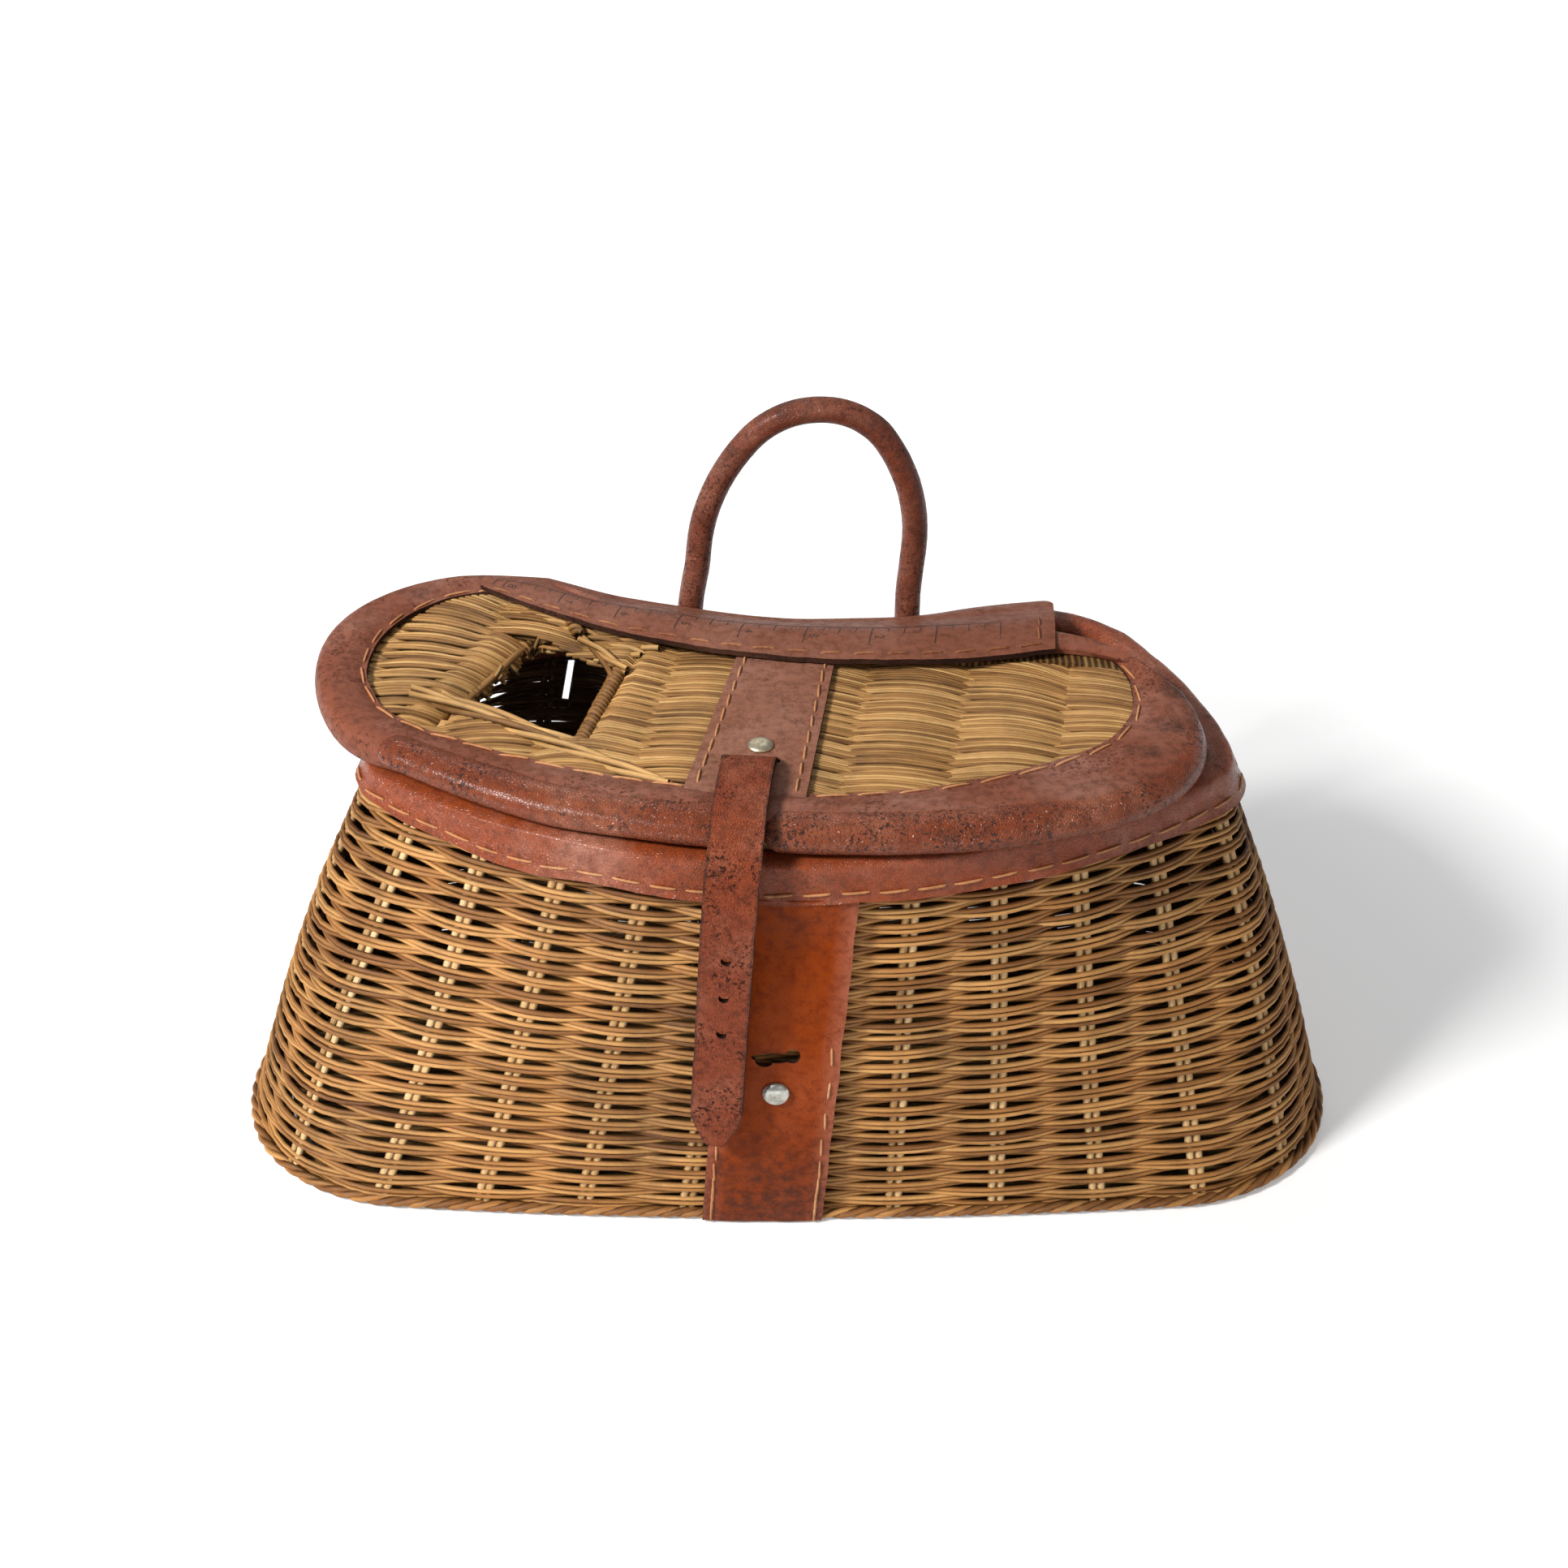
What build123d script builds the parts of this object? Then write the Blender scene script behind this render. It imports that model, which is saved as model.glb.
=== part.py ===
from build123d import *
from math import acos, atan2, cos, hypot, pi, sin, sqrt
import os

# Wicker fishing creel with a leather-bound, leather-hinged lid.
# Millimetres. The front faces -Y, +X is to the right and +Z is up.
# The origin is on the flat underside of the base, under the middle of the body.

# ---- plan outlines of the body, five tangent arcs a side: see kidney_half ----
# A corner and a lobe are x, y and radius; hollow is the y of the dip in the back.
base_outline = dict(front=76.5, corner=(145.5, 5.6, 76.7), side=200.0, lobe=(150.0, 40.0, 60.0), hollow=84.0)
rim_outline = dict(front=76.5, corner=(147.5, -5.0, 18.0), side=155.0, lobe=(85.0, 46.0, 57.0), hollow=80.0)
rim_top = 174.5               # top of the leather-bound rim
rim_shift = 3.0               # the rim sits this far to the right of the base
wall_inset = 6.5              # middle of the wall, inside the outlines above

# ---- wicker of the body ----
border_height = 10.0          # heavy border that the stakes stand in
border_round = 2.2
border_inner = 6.0            # border reaches this far inside the middle of the wall
stake_pairs = 26
stake_thick = 2.5             # across the wall
stake_wide = 2.2              # along the wall
stake_pair_gap = 0.4
stake_lean = 0.012            # how far round the wall a stake leans, as a share of the way round
stake_straight = 0.2          # a stake that bows by more than this is bent in steps
stake_steps = 9
weave_courses = 18
weaver_thick = 1.8
weaver_slack = 1.35           # between a weaver and a stake
weaver_bow = 1.2              # a span that bows by more than this gets a bend between its stakes
floor_thick = 6.0
floor_gap = 0.9               # between the floor and the border
floor_row_pitch = 9.0
floor_sticks = 9
floor_stick_spacing = 40.0
floor_stick_wide = 6.0
floor_stick_thick = 3.0
row_rise = 0.8                # how far each row of weaving stands up
stick_slack = 0.1             # between a stick and the weaving round it
hoop_height = 5.0
hoop_gap = 0.2                # between the hoop and its leather

# ---- leather of the body ----
leather = 1.6
rim_outer_drop = 28.0         # how far the binding comes down outside the rim
rim_inner_drop = 16.0
rim_inner_reach = 6.6         # inside face of the binding, inside the middle of the wall
leather_gap = 0.2             # between two pieces of leather
panel_foot = (-34.0, 12.6)    # left and right edge of the front panel at the floor
panel_head = (-22.6, 24.0)
panel_slot = (16.0, 3.4)      # buttonhole slit above the stud: length and height
panel_slot_place = (-4.5, 87.0)
hinge_strip_half = 92.0
hinge_strip_height = 21.0

# ---- stud on the front panel ----
stud_place = (-5.0, 70.0)
stud_head_diameter = 10.6
stud_head_height = 2.8
stud_shank_diameter = 3.4
stud_washer_diameter = 9.0
stud_washer_thick = 0.5
stud_seat = 0.15              # between the leather and the metal on each side of it
hole_slack = 0.1

# ---- handle ----
handle_radius = 5.25
handle_core_radius = 3.0
handle_left = -38.0
handle_right = 48.5
handle_plane = 97.5           # y of the handle when it stands up
handle_foot = 167.0
handle_bend = 205.0           # where the straight legs start to curve
handle_crown = 266.0
handle_crown_radius = 34.0
tab_half = 9.0
tab_low = 138.0
tab_gap = 1.0                 # below the foot of the handle
tab_thick = 3.0
tab_rivet_z = 150.0
tab_rivet_head = (8.0, 1.6)   # diameter and height
tab_rivet_shank = 3.0
tab_rivet_seat = 0.2

# ---- lid, in its own frame: x along it, y to its back, z = 0 at its underside ----
lid_turn = -9.0               # the lid sits skewed on the body
lid_place = (-16.6, -14.2)
lid_gap = 0.5                 # between the rim and the lid
lid_thick = 12.0
lid_left = dict(front=45.0, corner=(116.2, 21.3, 49.3), side=101.7, lobe=(115.8, 47.2, 60.5), hollow=74.0)
lid_right = dict(front=45.0, corner=(110.0, 24.0, 46.0), side=82.0, lobe=(115.1, 33.9, 50.9), hollow=74.0)
opening_left = dict(front=32.0, corner=(100.0, 36.0, 46.0), side=60.0, lobe=(100.0, 46.0, 46.2), hollow=62.0)
opening_right = dict(front=32.0, corner=(94.0, 48.0, 46.0), side=49.0, lobe=(95.0, 52.0, 44.5), hollow=62.0)
lid_fit = 0.1                 # slack between the pieces of the lid
binding_under_width = 14.0
lid_hoop_width = 8.0
lid_row_pitch = 6.0
lid_stakes = 8
lid_stake_spacing = 38.0
lid_stake_start = -132.0
lid_stake_rise = 1.4          # of a stake above the underside of the weave
lid_stake_wide = 5.0
lid_stake_thick = 2.4
fish_hole = ((-94.5, 63.0), (-112.0, 9.0), (-61.5, -5.5), (-56.0, 43.0))
centre_panel = ((-12.5, 57.0), (25.0, 60.0), (28.0, -40.0), (-16.0, -40.0))

# ---- padded roll along the front of the lid ----
roll_radius = 6.5
roll_core_radius = 4.2
roll_left_start = 140.0       # outward from the middle, measured along x
roll_right_start = 147.0
roll_break = 3.0              # half the break between the two rolls
roll_break_x = 12.0

# ---- ruler band, which is also the leather of the hinge ----
band_front_edge = ((-124.0, 90.0), (-15.0, 55.0), (109.0, 76.0))
band_rear_edge = ((-124.0, 108.0), (-8.0, 95.5), (106.0, 121.0))
band_thick = 1.8
band_skirt_low = 0.6          # the skirt ends this far above the lid's underside
band_skirt_left = -80.0       # left of here the lid's own lobe stands behind the band

# ---- closing strap ----
strap_width = 19.0
strap_thick = 2.4
strap_turn = -5.0             # seen from above, on the lid
strap_lean = 4.3              # seen from the front, hanging
strap_slot = (-14.0, -28.0)
strap_slot_wide = 3.6
strap_pocket = 13.0           # length of the strap's tail under the centre panel
strap_lift = 2.0              # the strap runs this far above the lid to clear the roll
strap_knee = (-17.5, -69.0)   # x and y where it turns down over the roll
strap_seam = 0.4              # between the fixed and the hanging part
strap_hang = ((-3.0, 0.0), (-8.0, -4.0), (-13.0, -14.0), (-15.0, -30.0), (-15.0, -138.0))
strap_point = 13.0            # length of the tapered end
strap_tip_half = 1.5          # half the blunt tip
strap_holes = (50.0, 68.0, 85.5)
strap_hole_diameter = 3.8
strap_rivet_place = (-10.6, -19.5)
strap_rivet_head = (10.0, 1.4)
strap_rivet_shank = 3.0

# ---- what follows from the values above ----
weave_reach = stake_thick/2 + weaver_slack + weaver_thick/2    # a weaver's middle, from the wall's
hoop_low = rim_top - leather - hoop_gap - hoop_height
binding_low = rim_top - rim_outer_drop
lid_low = rim_top + lid_gap
core_low = lid_fit + leather
core_top = lid_thick - leather - lid_fit
handle_middle = (handle_left + handle_right)/2
panel_inner = wall_inset - leather + 0.3
panel_outer = panel_inner + leather


def mix(a, b, share):
    """Value, tuple or outline part of the way from a to b."""
    if isinstance(a, dict):
        return {key: mix(a[key], b[key], share) for key in a}
    if isinstance(a, tuple):
        return tuple(mix(p, q, share) for p, q in zip(a, b))
    return a + (b - a)*share


def kidney_half(front, corner, side, lobe, hollow, grow=0.0):
    """Right half of a kidney outline as (centre, radius, from, to), from its front round to its back.

    The flat front arc, the front corner, the long side arc and the rear lobe are tangent in turn,
    and the lobe runs into the hollow of the back.
    """
    xc, yc, rc = corner
    xl, yl, rl = lobe
    reach = front - rc
    front_y = (xc**2 + yc**2 - reach**2)/(2*(reach + yc))
    to_corner, to_lobe = side - rc, side - rl
    apart = hypot(xl - xc, yl - yc)
    along = (to_corner**2 - to_lobe**2 + apart**2)/(2*apart)
    across = sqrt(to_corner**2 - along**2)
    ux, uy = (xl - xc)/apart, (yl - yc)/apart
    xs, ys = min(
        (xc + ux*along - uy*across, yc + uy*along + ux*across),
        (xc + ux*along + uy*across, yc + uy*along - ux*across),
    )
    back_y = (xl**2 + yl**2 - (rl - hollow)**2)/(2*(yl + rl - hollow))
    a0 = atan2(yc - front_y, xc)
    a1 = atan2(yc - ys, xc - xs)
    a2 = atan2(yl - ys, xl - xs)
    a3 = atan2(back_y - yl, -xl)
    return [
        ((0.0, front_y), front_y + front + grow, -pi/2, a0),
        ((xc, yc), rc + grow, a0, a1),
        ((xs, ys), side + grow, a1, a2),
        ((xl, yl), rl + grow, a2, a3),
        ((0.0, back_y), back_y - hollow - grow, a3 - pi, -pi/2),
    ]


def half_edges(outline, grow, mirrored):
    """Arcs of one half outline, grown outwards."""
    flip = -1 if mirrored else 1
    edges = []
    for (x, y), radius, start, end in kidney_half(**outline, grow=grow):
        stops = [Vector(flip*(x + radius*cos(a)), y + radius*sin(a)) for a in (start, (start + end)/2, end)]
        edges.append(Edge.make_three_point_arc(*(reversed(stops) if mirrored else stops)))
    return list(reversed(edges)) if mirrored else edges


def kidney_wire(right, left, grow=0.0):
    return Wire(half_edges(right, grow, False) + half_edges(left, grow, True))


def wall_wire(z, grow=0.0):
    """Middle of the wall at height z, grown outwards."""
    share = z/rim_top
    outline = mix(base_outline, rim_outline, share)
    return kidney_wire(outline, outline, grow - wall_inset).moved(Location((rim_shift*share, 0, z)))


def wall_loft(*levels):
    """Solid through (height, growth) levels of the wall's outline."""
    return Solid.make_loft([wall_wire(z, grow) for z, grow in levels], ruled=True)


def wall_front(x, z, grow):
    """y of the front of the wall at x and height z."""
    share = z/rim_top
    (_, cy), radius, _, _ = kidney_half(**mix(base_outline, rim_outline, share), grow=grow - wall_inset)[0]
    return cy - sqrt(radius**2 - (x - rim_shift*share)**2)


def wall_back(x, z, grow):
    """Point and outward direction on the hollow of the back at x and height z."""
    share = z/rim_top
    (_, cy), radius, _, _ = kidney_half(**mix(base_outline, rim_outline, share), grow=grow - wall_inset)[4]
    dx = x - rim_shift*share
    dy = -sqrt(radius**2 - dx**2)
    return Vector(x, cy + dy, z), Vector(-dx, -dy, 0).normalized()


def wall_points(z):
    """(x, y, outward x, outward y) at each stake pair and halfway between pairs."""
    wire = wall_wire(z)
    lean = stake_lean*z/rim_top
    steps = 2*stake_pairs
    spots = [wire.position_at((step/steps + lean) % 1) for step in range(steps)]
    places = []
    for step, spot in enumerate(spots):
        run = (spots[(step + 1) % steps] - spots[step - 1]).normalized()
        places.append((spot.X, spot.Y, run.Y, -run.X))
    return places


def polygon(points):
    return Wire.make_polygon(points, close=True)


def closed_solid(lower, upper, holes=None):
    """Solid between two polygons of as many corners, with an optional pair of inner polygons."""
    faces = []
    for low, high in ((lower, upper),) + ((holes,) if holes else ()):
        for i in range(len(low)):
            j = (i + 1) % len(low)
            faces.append(Face(polygon([low[i], low[j], high[j]])))
            faces.append(Face(polygon([low[i], high[j], high[i]])))
    faces.append(Face(polygon(lower), [polygon(holes[0])] if holes else None))
    faces.append(Face(polygon(upper), [polygon(holes[1])] if holes else None))
    return Solid(Shell(faces))


def bow(points, step):
    """How far the wall stands out from the straight line between the stakes beside a step."""
    before, after = points[step - 1], points[(step + 1) % len(points)]
    return hypot((before[0] + after[0])/2 - points[step][0], (before[1] + after[1])/2 - points[step][1])


def make_side_weave():
    """Courses of weavers that pass in front of one stake pair and behind the next.

    Each course goes the other way from the one below it, and they bear on each other
    where they cross between the stakes, so that the whole wall holds together.
    """
    heights = [mix(border_height, hoop_low, k/weave_courses) for k in range(weave_courses + 1)]
    levels = [wall_points(z) for z in heights]
    bends = [
        step for step in range(2*stake_pairs)
        if step % 2 == 0 or max(bow(levels[0], step), bow(levels[-1], step)) > weaver_bow
    ]

    def edge_of(level, course, side):
        corners = []
        for step in bends:
            x, y, nx, ny = levels[level][step]
            if step % 2:
                reach = 0.0
            else:
                reach = weave_reach if (step//2 + course) % 2 == 0 else -weave_reach
            reach += side*weaver_thick/2
            corners.append(Vector(x + nx*reach, y + ny*reach, heights[level]))
        return corners

    courses = []
    for course in range(weave_courses):
        outside = [edge_of(level, course, 1) for level in (course, course + 1)]
        inside = [edge_of(level, course, -1) for level in (course, course + 1)]
        courses.append(closed_solid(*outside, holes=inside))
    return courses[0].fuse(*courses[1:])


def stake_rod(levels, heights, step, offset):
    """One stake through the wall's levels, offset along the wall."""
    squares = []
    for points, z in zip(levels, heights):
        x, y, nx, ny = points[step]
        corners = []
        for across, along in ((-1, -1), (1, -1), (1, 1), (-1, 1)):
            out, side = across*stake_thick/2, offset + along*stake_wide/2
            corners.append(Vector(x + nx*out - ny*side, y + ny*out + nx*side, z))
        squares.append(corners)
    rod = closed_solid(squares[0], squares[1])
    for lower, upper in zip(squares[1:], squares[2:]):
        rod = rod.fuse(closed_solid(lower, upper))
    return rod


def make_side_stakes():
    """Pairs of stakes from the border up to the hoop, straight where the wall lets them be."""
    heights = [mix(border_height, hoop_low, k/stake_steps) for k in range(stake_steps + 1)]
    levels = [wall_points(z) for z in heights]
    middle = stake_steps//2
    rods = []
    for step in range(0, 2*stake_pairs, 2):
        ends = [levels[k][step] for k in (0, middle, stake_steps)]
        bowed = hypot((ends[0][0] + ends[2][0])/2 - ends[1][0], (ends[0][1] + ends[2][1])/2 - ends[1][1])
        used = range(stake_steps + 1) if bowed > stake_straight else (0, stake_steps)
        for side in (-1, 1):
            offset = side*(stake_wide + stake_pair_gap)/2
            rods.append(stake_rod([levels[k] for k in used], [heights[k] for k in used], step, offset))
    return Compound(rods)


def make_base_border():
    """Heavy border that the wall stands on, rounded outside and flat underneath."""
    low, high = border_round, border_height - border_round
    outside = wall_loft(
        (0.0, wall_inset - border_round), (low, wall_inset), (high, wall_inset),
        (border_height, wall_inset - border_round*0.6),
    )
    return outside - wall_loft((-1.0, -border_inner), (border_height + 1.0, -border_inner))


def prism(wire, low, high):
    return extrude(Face(wire.moved(Location((0, 0, low)))), amount=high - low, dir=(0, 0, 1))


def woven_slab(low, high, pitch, back, front, half_length):
    """Slab of rows that run along x, ridged on top."""
    outline = [Vector(0, front, low)]
    rows = int((back - front)/pitch) + 1
    for row in range(rows):
        outline.append(Vector(0, front + row*pitch, high - row_rise))
        outline.append(Vector(0, front + (row + 0.5)*pitch, high))
    outline.append(Vector(0, front + rows*pitch, high - row_rise))
    outline.append(Vector(0, front + rows*pitch, low))
    profile = Face(polygon(outline)).moved(Location((-half_length, 0, 0)))
    return extrude(profile, amount=2*half_length, dir=(1, 0, 0))


def cross_stick(x, wide, low, high, slack=0.0):
    """Straight stick that runs from front to back at x."""
    reach = 400.0
    return Pos(x, 0, (low + high)/2) * Box(wide + 2*slack, reach, high - low + 2*slack)


def make_floor():
    """Woven floor and the sticks inside it, cut to the outline that the border leaves."""
    outline = wall_wire(floor_thick, -border_inner - floor_gap).moved(Location((0, 0, -floor_thick)))
    room = prism(outline, 0.0, floor_thick)
    weave = woven_slab(0.0, floor_thick, floor_row_pitch, 120.0, -90.0, 240.0) & room
    low = (floor_thick - row_rise - floor_stick_thick)/2
    sticks = []
    for i in range(floor_sticks):
        x = (i - (floor_sticks - 1)/2)*floor_stick_spacing
        weave -= cross_stick(x, floor_stick_wide, low, low + floor_stick_thick, stick_slack)
        sticks += (cross_stick(x, floor_stick_wide, low, low + floor_stick_thick) & room).solids()
    return weave, Compound(sticks)


def make_rim_hoop():
    """Bent rod that ties the tops of the stakes together, hidden in the leather."""
    high = hoop_low + hoop_height
    outside = wall_inset - leather - hoop_gap
    inside = -(rim_inner_reach - leather - hoop_gap)
    return wall_loft((hoop_low, outside), (high, outside)) - wall_loft((hoop_low - 1, inside), (high + 1, inside))


def make_rim_binding():
    """Leather folded over the rim, deeper outside than inside."""
    inner_low = rim_top - rim_inner_drop
    inside = -rim_inner_reach
    skin = wall_loft((binding_low, wall_inset), (rim_top, wall_inset))
    mouth = wall_loft((binding_low - 1, inside), (rim_top + 1, inside))
    room = wall_loft((binding_low - 1, wall_inset - leather), (rim_top - leather, wall_inset - leather))
    inner_wall = wall_loft((inner_low, inside + leather), (rim_top, inside + leather))
    return skin - mouth - (room - inner_wall)


def wall_patch(levels, thick, shape):
    """Leather that hugs the wall through (height, growth) levels, cut to a shape."""
    outer = wall_loft(*((z, grow + thick) for z, grow in levels))
    return (outer & shape) - wall_loft(*levels)


def make_front_panel():
    """Upright panel from the rim to the floor, over the border, with a slit above the stud."""
    high = binding_low - leather_gap
    knee = border_height
    over_border = wall_inset + leather_gap
    levels = (
        (leather_gap, over_border), (knee, over_border), (knee + 5.0, panel_inner),
        (high/2, panel_inner), (high, panel_inner),
    )
    corners = [(panel_foot[0], 0), (panel_foot[1], 0), (panel_head[1], high), (panel_head[0], high)]
    cut = extrude(Face(polygon([Vector(x, 0, z) for x, z in corners])), amount=150.0, dir=(0, -1, 0))
    panel = wall_patch(levels, leather, cut)
    length, height = panel_slot
    slit = extrude(Plane.XZ * SlotOverall(length, height), amount=150.0)
    panel -= Pos(panel_slot_place[0], 0, panel_slot_place[1]) * slit
    x, z = stud_place
    hole = extrude(Plane.XZ * Circle(stud_shank_diameter/2 + hole_slack), amount=150.0)
    return panel - Pos(x, 0, z) * hole


def make_stud():
    """Domed stud through the panel, held by a thin flange behind the leather."""
    x, z = stud_place
    face = stud_seat - wall_front(x, z, panel_outer)
    flange = -wall_front(x, z, panel_inner) - stud_seat
    head = stud_head_diameter/2
    ball = (head**2 + stud_head_height**2)/(2*stud_head_height)
    cap = Pos(0, 0, stud_head_height - ball) * Sphere(ball)
    cap &= Pos(0, 0, stud_head_height/2) * Box(3*head, 3*head, stud_head_height)
    low = flange - stud_washer_thick - face
    shank = Pos(0, 0, low/2) * Cylinder(stud_shank_diameter/2, -low)
    washer = Pos(0, 0, low + stud_washer_thick/2) * Cylinder(stud_washer_diameter/2, stud_washer_thick)
    return Pos(x, -face, z) * Rot(90, 0, 0) * (cap + shank + washer)


def make_hinge_strip():
    """Leather stitched round the back of the rim, the fixed leaf of the hinge."""
    high = rim_top - leather
    low = high - hinge_strip_height
    middle = (low + high)/2
    strip_box = Pos(rim_shift, 100.0, middle) * Box(2*hinge_strip_half, 120.0, high - low)
    grow = wall_inset + leather_gap
    strip = wall_patch(((low - 1, grow), (high + 1, grow)), leather, strip_box)
    for rivet in tab_rivets(hole_slack):
        strip -= rivet
    return strip


def tab_rivets(slack=0.0):
    """Shank and head of the rivet through each handle tab."""
    rivets = []
    shank_length = tab_thick + leather + 2*leather_gap + tab_rivet_seat
    for x in (handle_left, handle_right):
        place, out = wall_back(x, tab_rivet_z, wall_inset + leather_gap/2)
        frame = Plane(origin=place, z_dir=out)
        rivet = frame * Pos(0, 0, shank_length/2) * Cylinder(tab_rivet_shank/2 + slack, shank_length)
        if not slack:
            head_diameter, head_height = tab_rivet_head
            rivet += frame * Pos(0, 0, shank_length + head_height/2) * Cone(
                head_diameter/2, head_diameter/4, head_height)
        rivets.append(rivet)
    return rivets


def make_handle_tabs():
    """Leather ends of the handle, riveted flat against the back of the rim."""
    high = handle_foot - tab_gap
    grow = wall_inset + leather + 2*leather_gap
    tabs = []
    for x, rivet in zip((handle_left, handle_right), tab_rivets(hole_slack)):
        box = Pos(x, 100.0, (tab_low + high)/2) * Box(2*tab_half, 120.0, high - tab_low)
        tab = wall_patch(((tab_low - 1, grow), (high + 1, grow)), tab_thick, box)
        tabs += (tab - rivet).solids()
    return Compound(tabs)


def handle_path():
    """Straight legs, long side arcs and a tighter crown, all tangent."""
    half = (handle_right - handle_left)/2
    rise = handle_crown - handle_crown_radius - handle_bend
    bend = (half**2 + rise**2 - handle_crown_radius**2)/(2*(half - handle_crown_radius))
    tilt = atan2(rise, bend - half)

    def place(x, z):
        return Vector(handle_middle + x, handle_plane, z)

    def on_side(angle):
        return bend*cos(angle) - (bend - half), handle_bend + bend*sin(angle)

    shoulder, flank = on_side(tilt), on_side(tilt/2)
    return Wire([
        Edge.make_line(place(-half, handle_foot), place(-half, handle_bend)),
        Edge.make_three_point_arc(place(-half, handle_bend), place(-flank[0], flank[1]), place(-shoulder[0], shoulder[1])),
        Edge.make_three_point_arc(place(-shoulder[0], shoulder[1]), place(0, handle_crown), place(*shoulder)),
        Edge.make_three_point_arc(place(*shoulder), place(*flank), place(half, handle_bend)),
        Edge.make_line(place(half, handle_bend), place(half, handle_foot)),
    ])


def rod_along(path, radius):
    section = Plane(origin=path.position_at(0), z_dir=path.tangent_at(0)) * Circle(radius)
    return sweep(section, path=path)


def make_handle():
    """Leather rolled round a core of cord."""
    path = handle_path()
    core = rod_along(path, handle_core_radius)
    return rod_along(path, handle_radius) - rod_along(path, handle_core_radius + hole_slack), core


def lid_wire(grow=0.0):
    return kidney_wire(lid_right, lid_left, grow)


def on_lid(shape):
    """Moves a shape from the lid's frame to its place on the body."""
    return Location((lid_place[0], lid_place[1], lid_low), (0, 0, lid_turn)) * shape


def to_lid(x, y):
    """Place on the lid's frame of a point given over the body."""
    point = Location((lid_place[0], lid_place[1], 0), (0, 0, lid_turn)).inverse() * Pos(x, y, 0)
    return point.position.X, point.position.Y


def corner_prism(corners, low, high):
    return prism(polygon([Vector(x, y, 0) for x, y in corners]), low, high)


def make_lid_hoop():
    """Bent rod round the edge of the lid, inside its leather."""
    edge = -leather - lid_fit
    ring = prism(lid_wire(edge), core_low, core_top)
    return ring - prism(lid_wire(edge - lid_hoop_width), core_low - 1, core_top + 1)


def strap_tool(length_back, length_front, low, high, wide):
    """Box in line with the strap, about its slot, in the lid's frame."""
    x, y = to_lid(*strap_slot)
    middle = (length_back - length_front)/2
    box = Box(wide, length_back + length_front, high - low)
    return Location((x, y, 0), (0, 0, strap_turn - lid_turn)) * Pos(0, middle, (low + high)/2) * box


def make_lid_weave():
    """Woven top inside the hoop and the stakes inside it, with the fish hole and room for the strap's end."""
    outline = lid_wire(-leather - 2*lid_fit - lid_hoop_width)
    room = prism(outline, core_low, core_top)
    hole = corner_prism(fish_hole, core_low - 1, core_top + 1)
    weave = (woven_slab(core_low, core_top, lid_row_pitch, 130.0, -60.0, 200.0) & room) - hole
    low = core_low + lid_stake_rise
    stakes = []
    for i in range(lid_stakes):
        x = lid_stake_start + i*lid_stake_spacing
        weave -= cross_stick(x, lid_stake_wide, low, low + lid_stake_thick, stick_slack)
        stakes += ((cross_stick(x, lid_stake_wide, low, low + lid_stake_thick) & room) - hole).solids()
    pocket_low = core_top - strap_thick - 2*lid_fit
    pocket = strap_tool(strap_pocket + 1, strap_slot_wide/2, pocket_low, lid_thick, strap_width + 1)
    weave -= pocket
    x, y = to_lid(*strap_rivet_place)
    weave -= Pos(x, y, core_top/2) * Cylinder(strap_rivet_shank/2 + hole_slack, 2*lid_thick)
    return weave, Compound(stakes)


def make_lid_binding():
    """Leather folded round the edge of the lid, wider on top than underneath."""
    skin = prism(lid_wire(), 0.0, lid_thick)
    top_hole = prism(kidney_wire(opening_right, opening_left), core_top, lid_thick + 1)
    under_hole = prism(lid_wire(-binding_under_width), -1.0, core_low)
    return skin - top_hole - under_hole - prism(lid_wire(-leather), core_low - lid_fit, core_top + lid_fit)


def make_centre_panel():
    """Leather down the middle of the lid, with the slot that the strap comes out of."""
    shape = corner_prism(centre_panel, core_top + lid_fit, lid_thick)
    inner = prism(kidney_wire(opening_right, opening_left, -lid_fit), core_top, lid_thick + 1)
    slot = strap_tool(strap_slot_wide/2, strap_slot_wide/2, 0.0, 2*lid_thick, strap_width + 1)
    panel = (shape & inner) - slot
    x, y = to_lid(*strap_rivet_place)
    return panel - Pos(x, y, lid_thick) * Cylinder(strap_rivet_shank/2 + hole_slack, lid_thick)


def make_strap_rivet():
    """Rivet through the centre panel and the end of the strap."""
    x, y = to_lid(*strap_rivet_place)
    diameter, height = strap_rivet_head
    low = core_top - strap_thick - lid_fit - 1.0
    shank = Pos(x, y, (low + lid_thick)/2) * Cylinder(strap_rivet_shank/2, lid_thick - low)
    return shank + Pos(x, y, lid_thick + height/2) * Cone(diameter/2, diameter/4, height)


def front_roll_path(outline, start_x, end_x, mirrored):
    """Path of the roll along the front of one half of the lid, from the middle outwards."""
    flip = -1 if mirrored else 1
    edges = []
    for (x, y), radius, start, end in kidney_half(**outline, grow=roll_radius + lid_fit):
        if not edges:
            start = -acos((start_x - x)/radius)
        reached = x + radius*cos(end) > end_x or end > 0
        if reached:
            end = -acos((end_x - x)/radius)
        stops = [(x + radius*cos(a), y + radius*sin(a)) for a in (start, (start + end)/2, end)]
        edges.append(Edge.make_three_point_arc(*(Vector(flip*px, py, roll_radius) for px, py in stops)))
        if reached:
            return Wire(edges)


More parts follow.
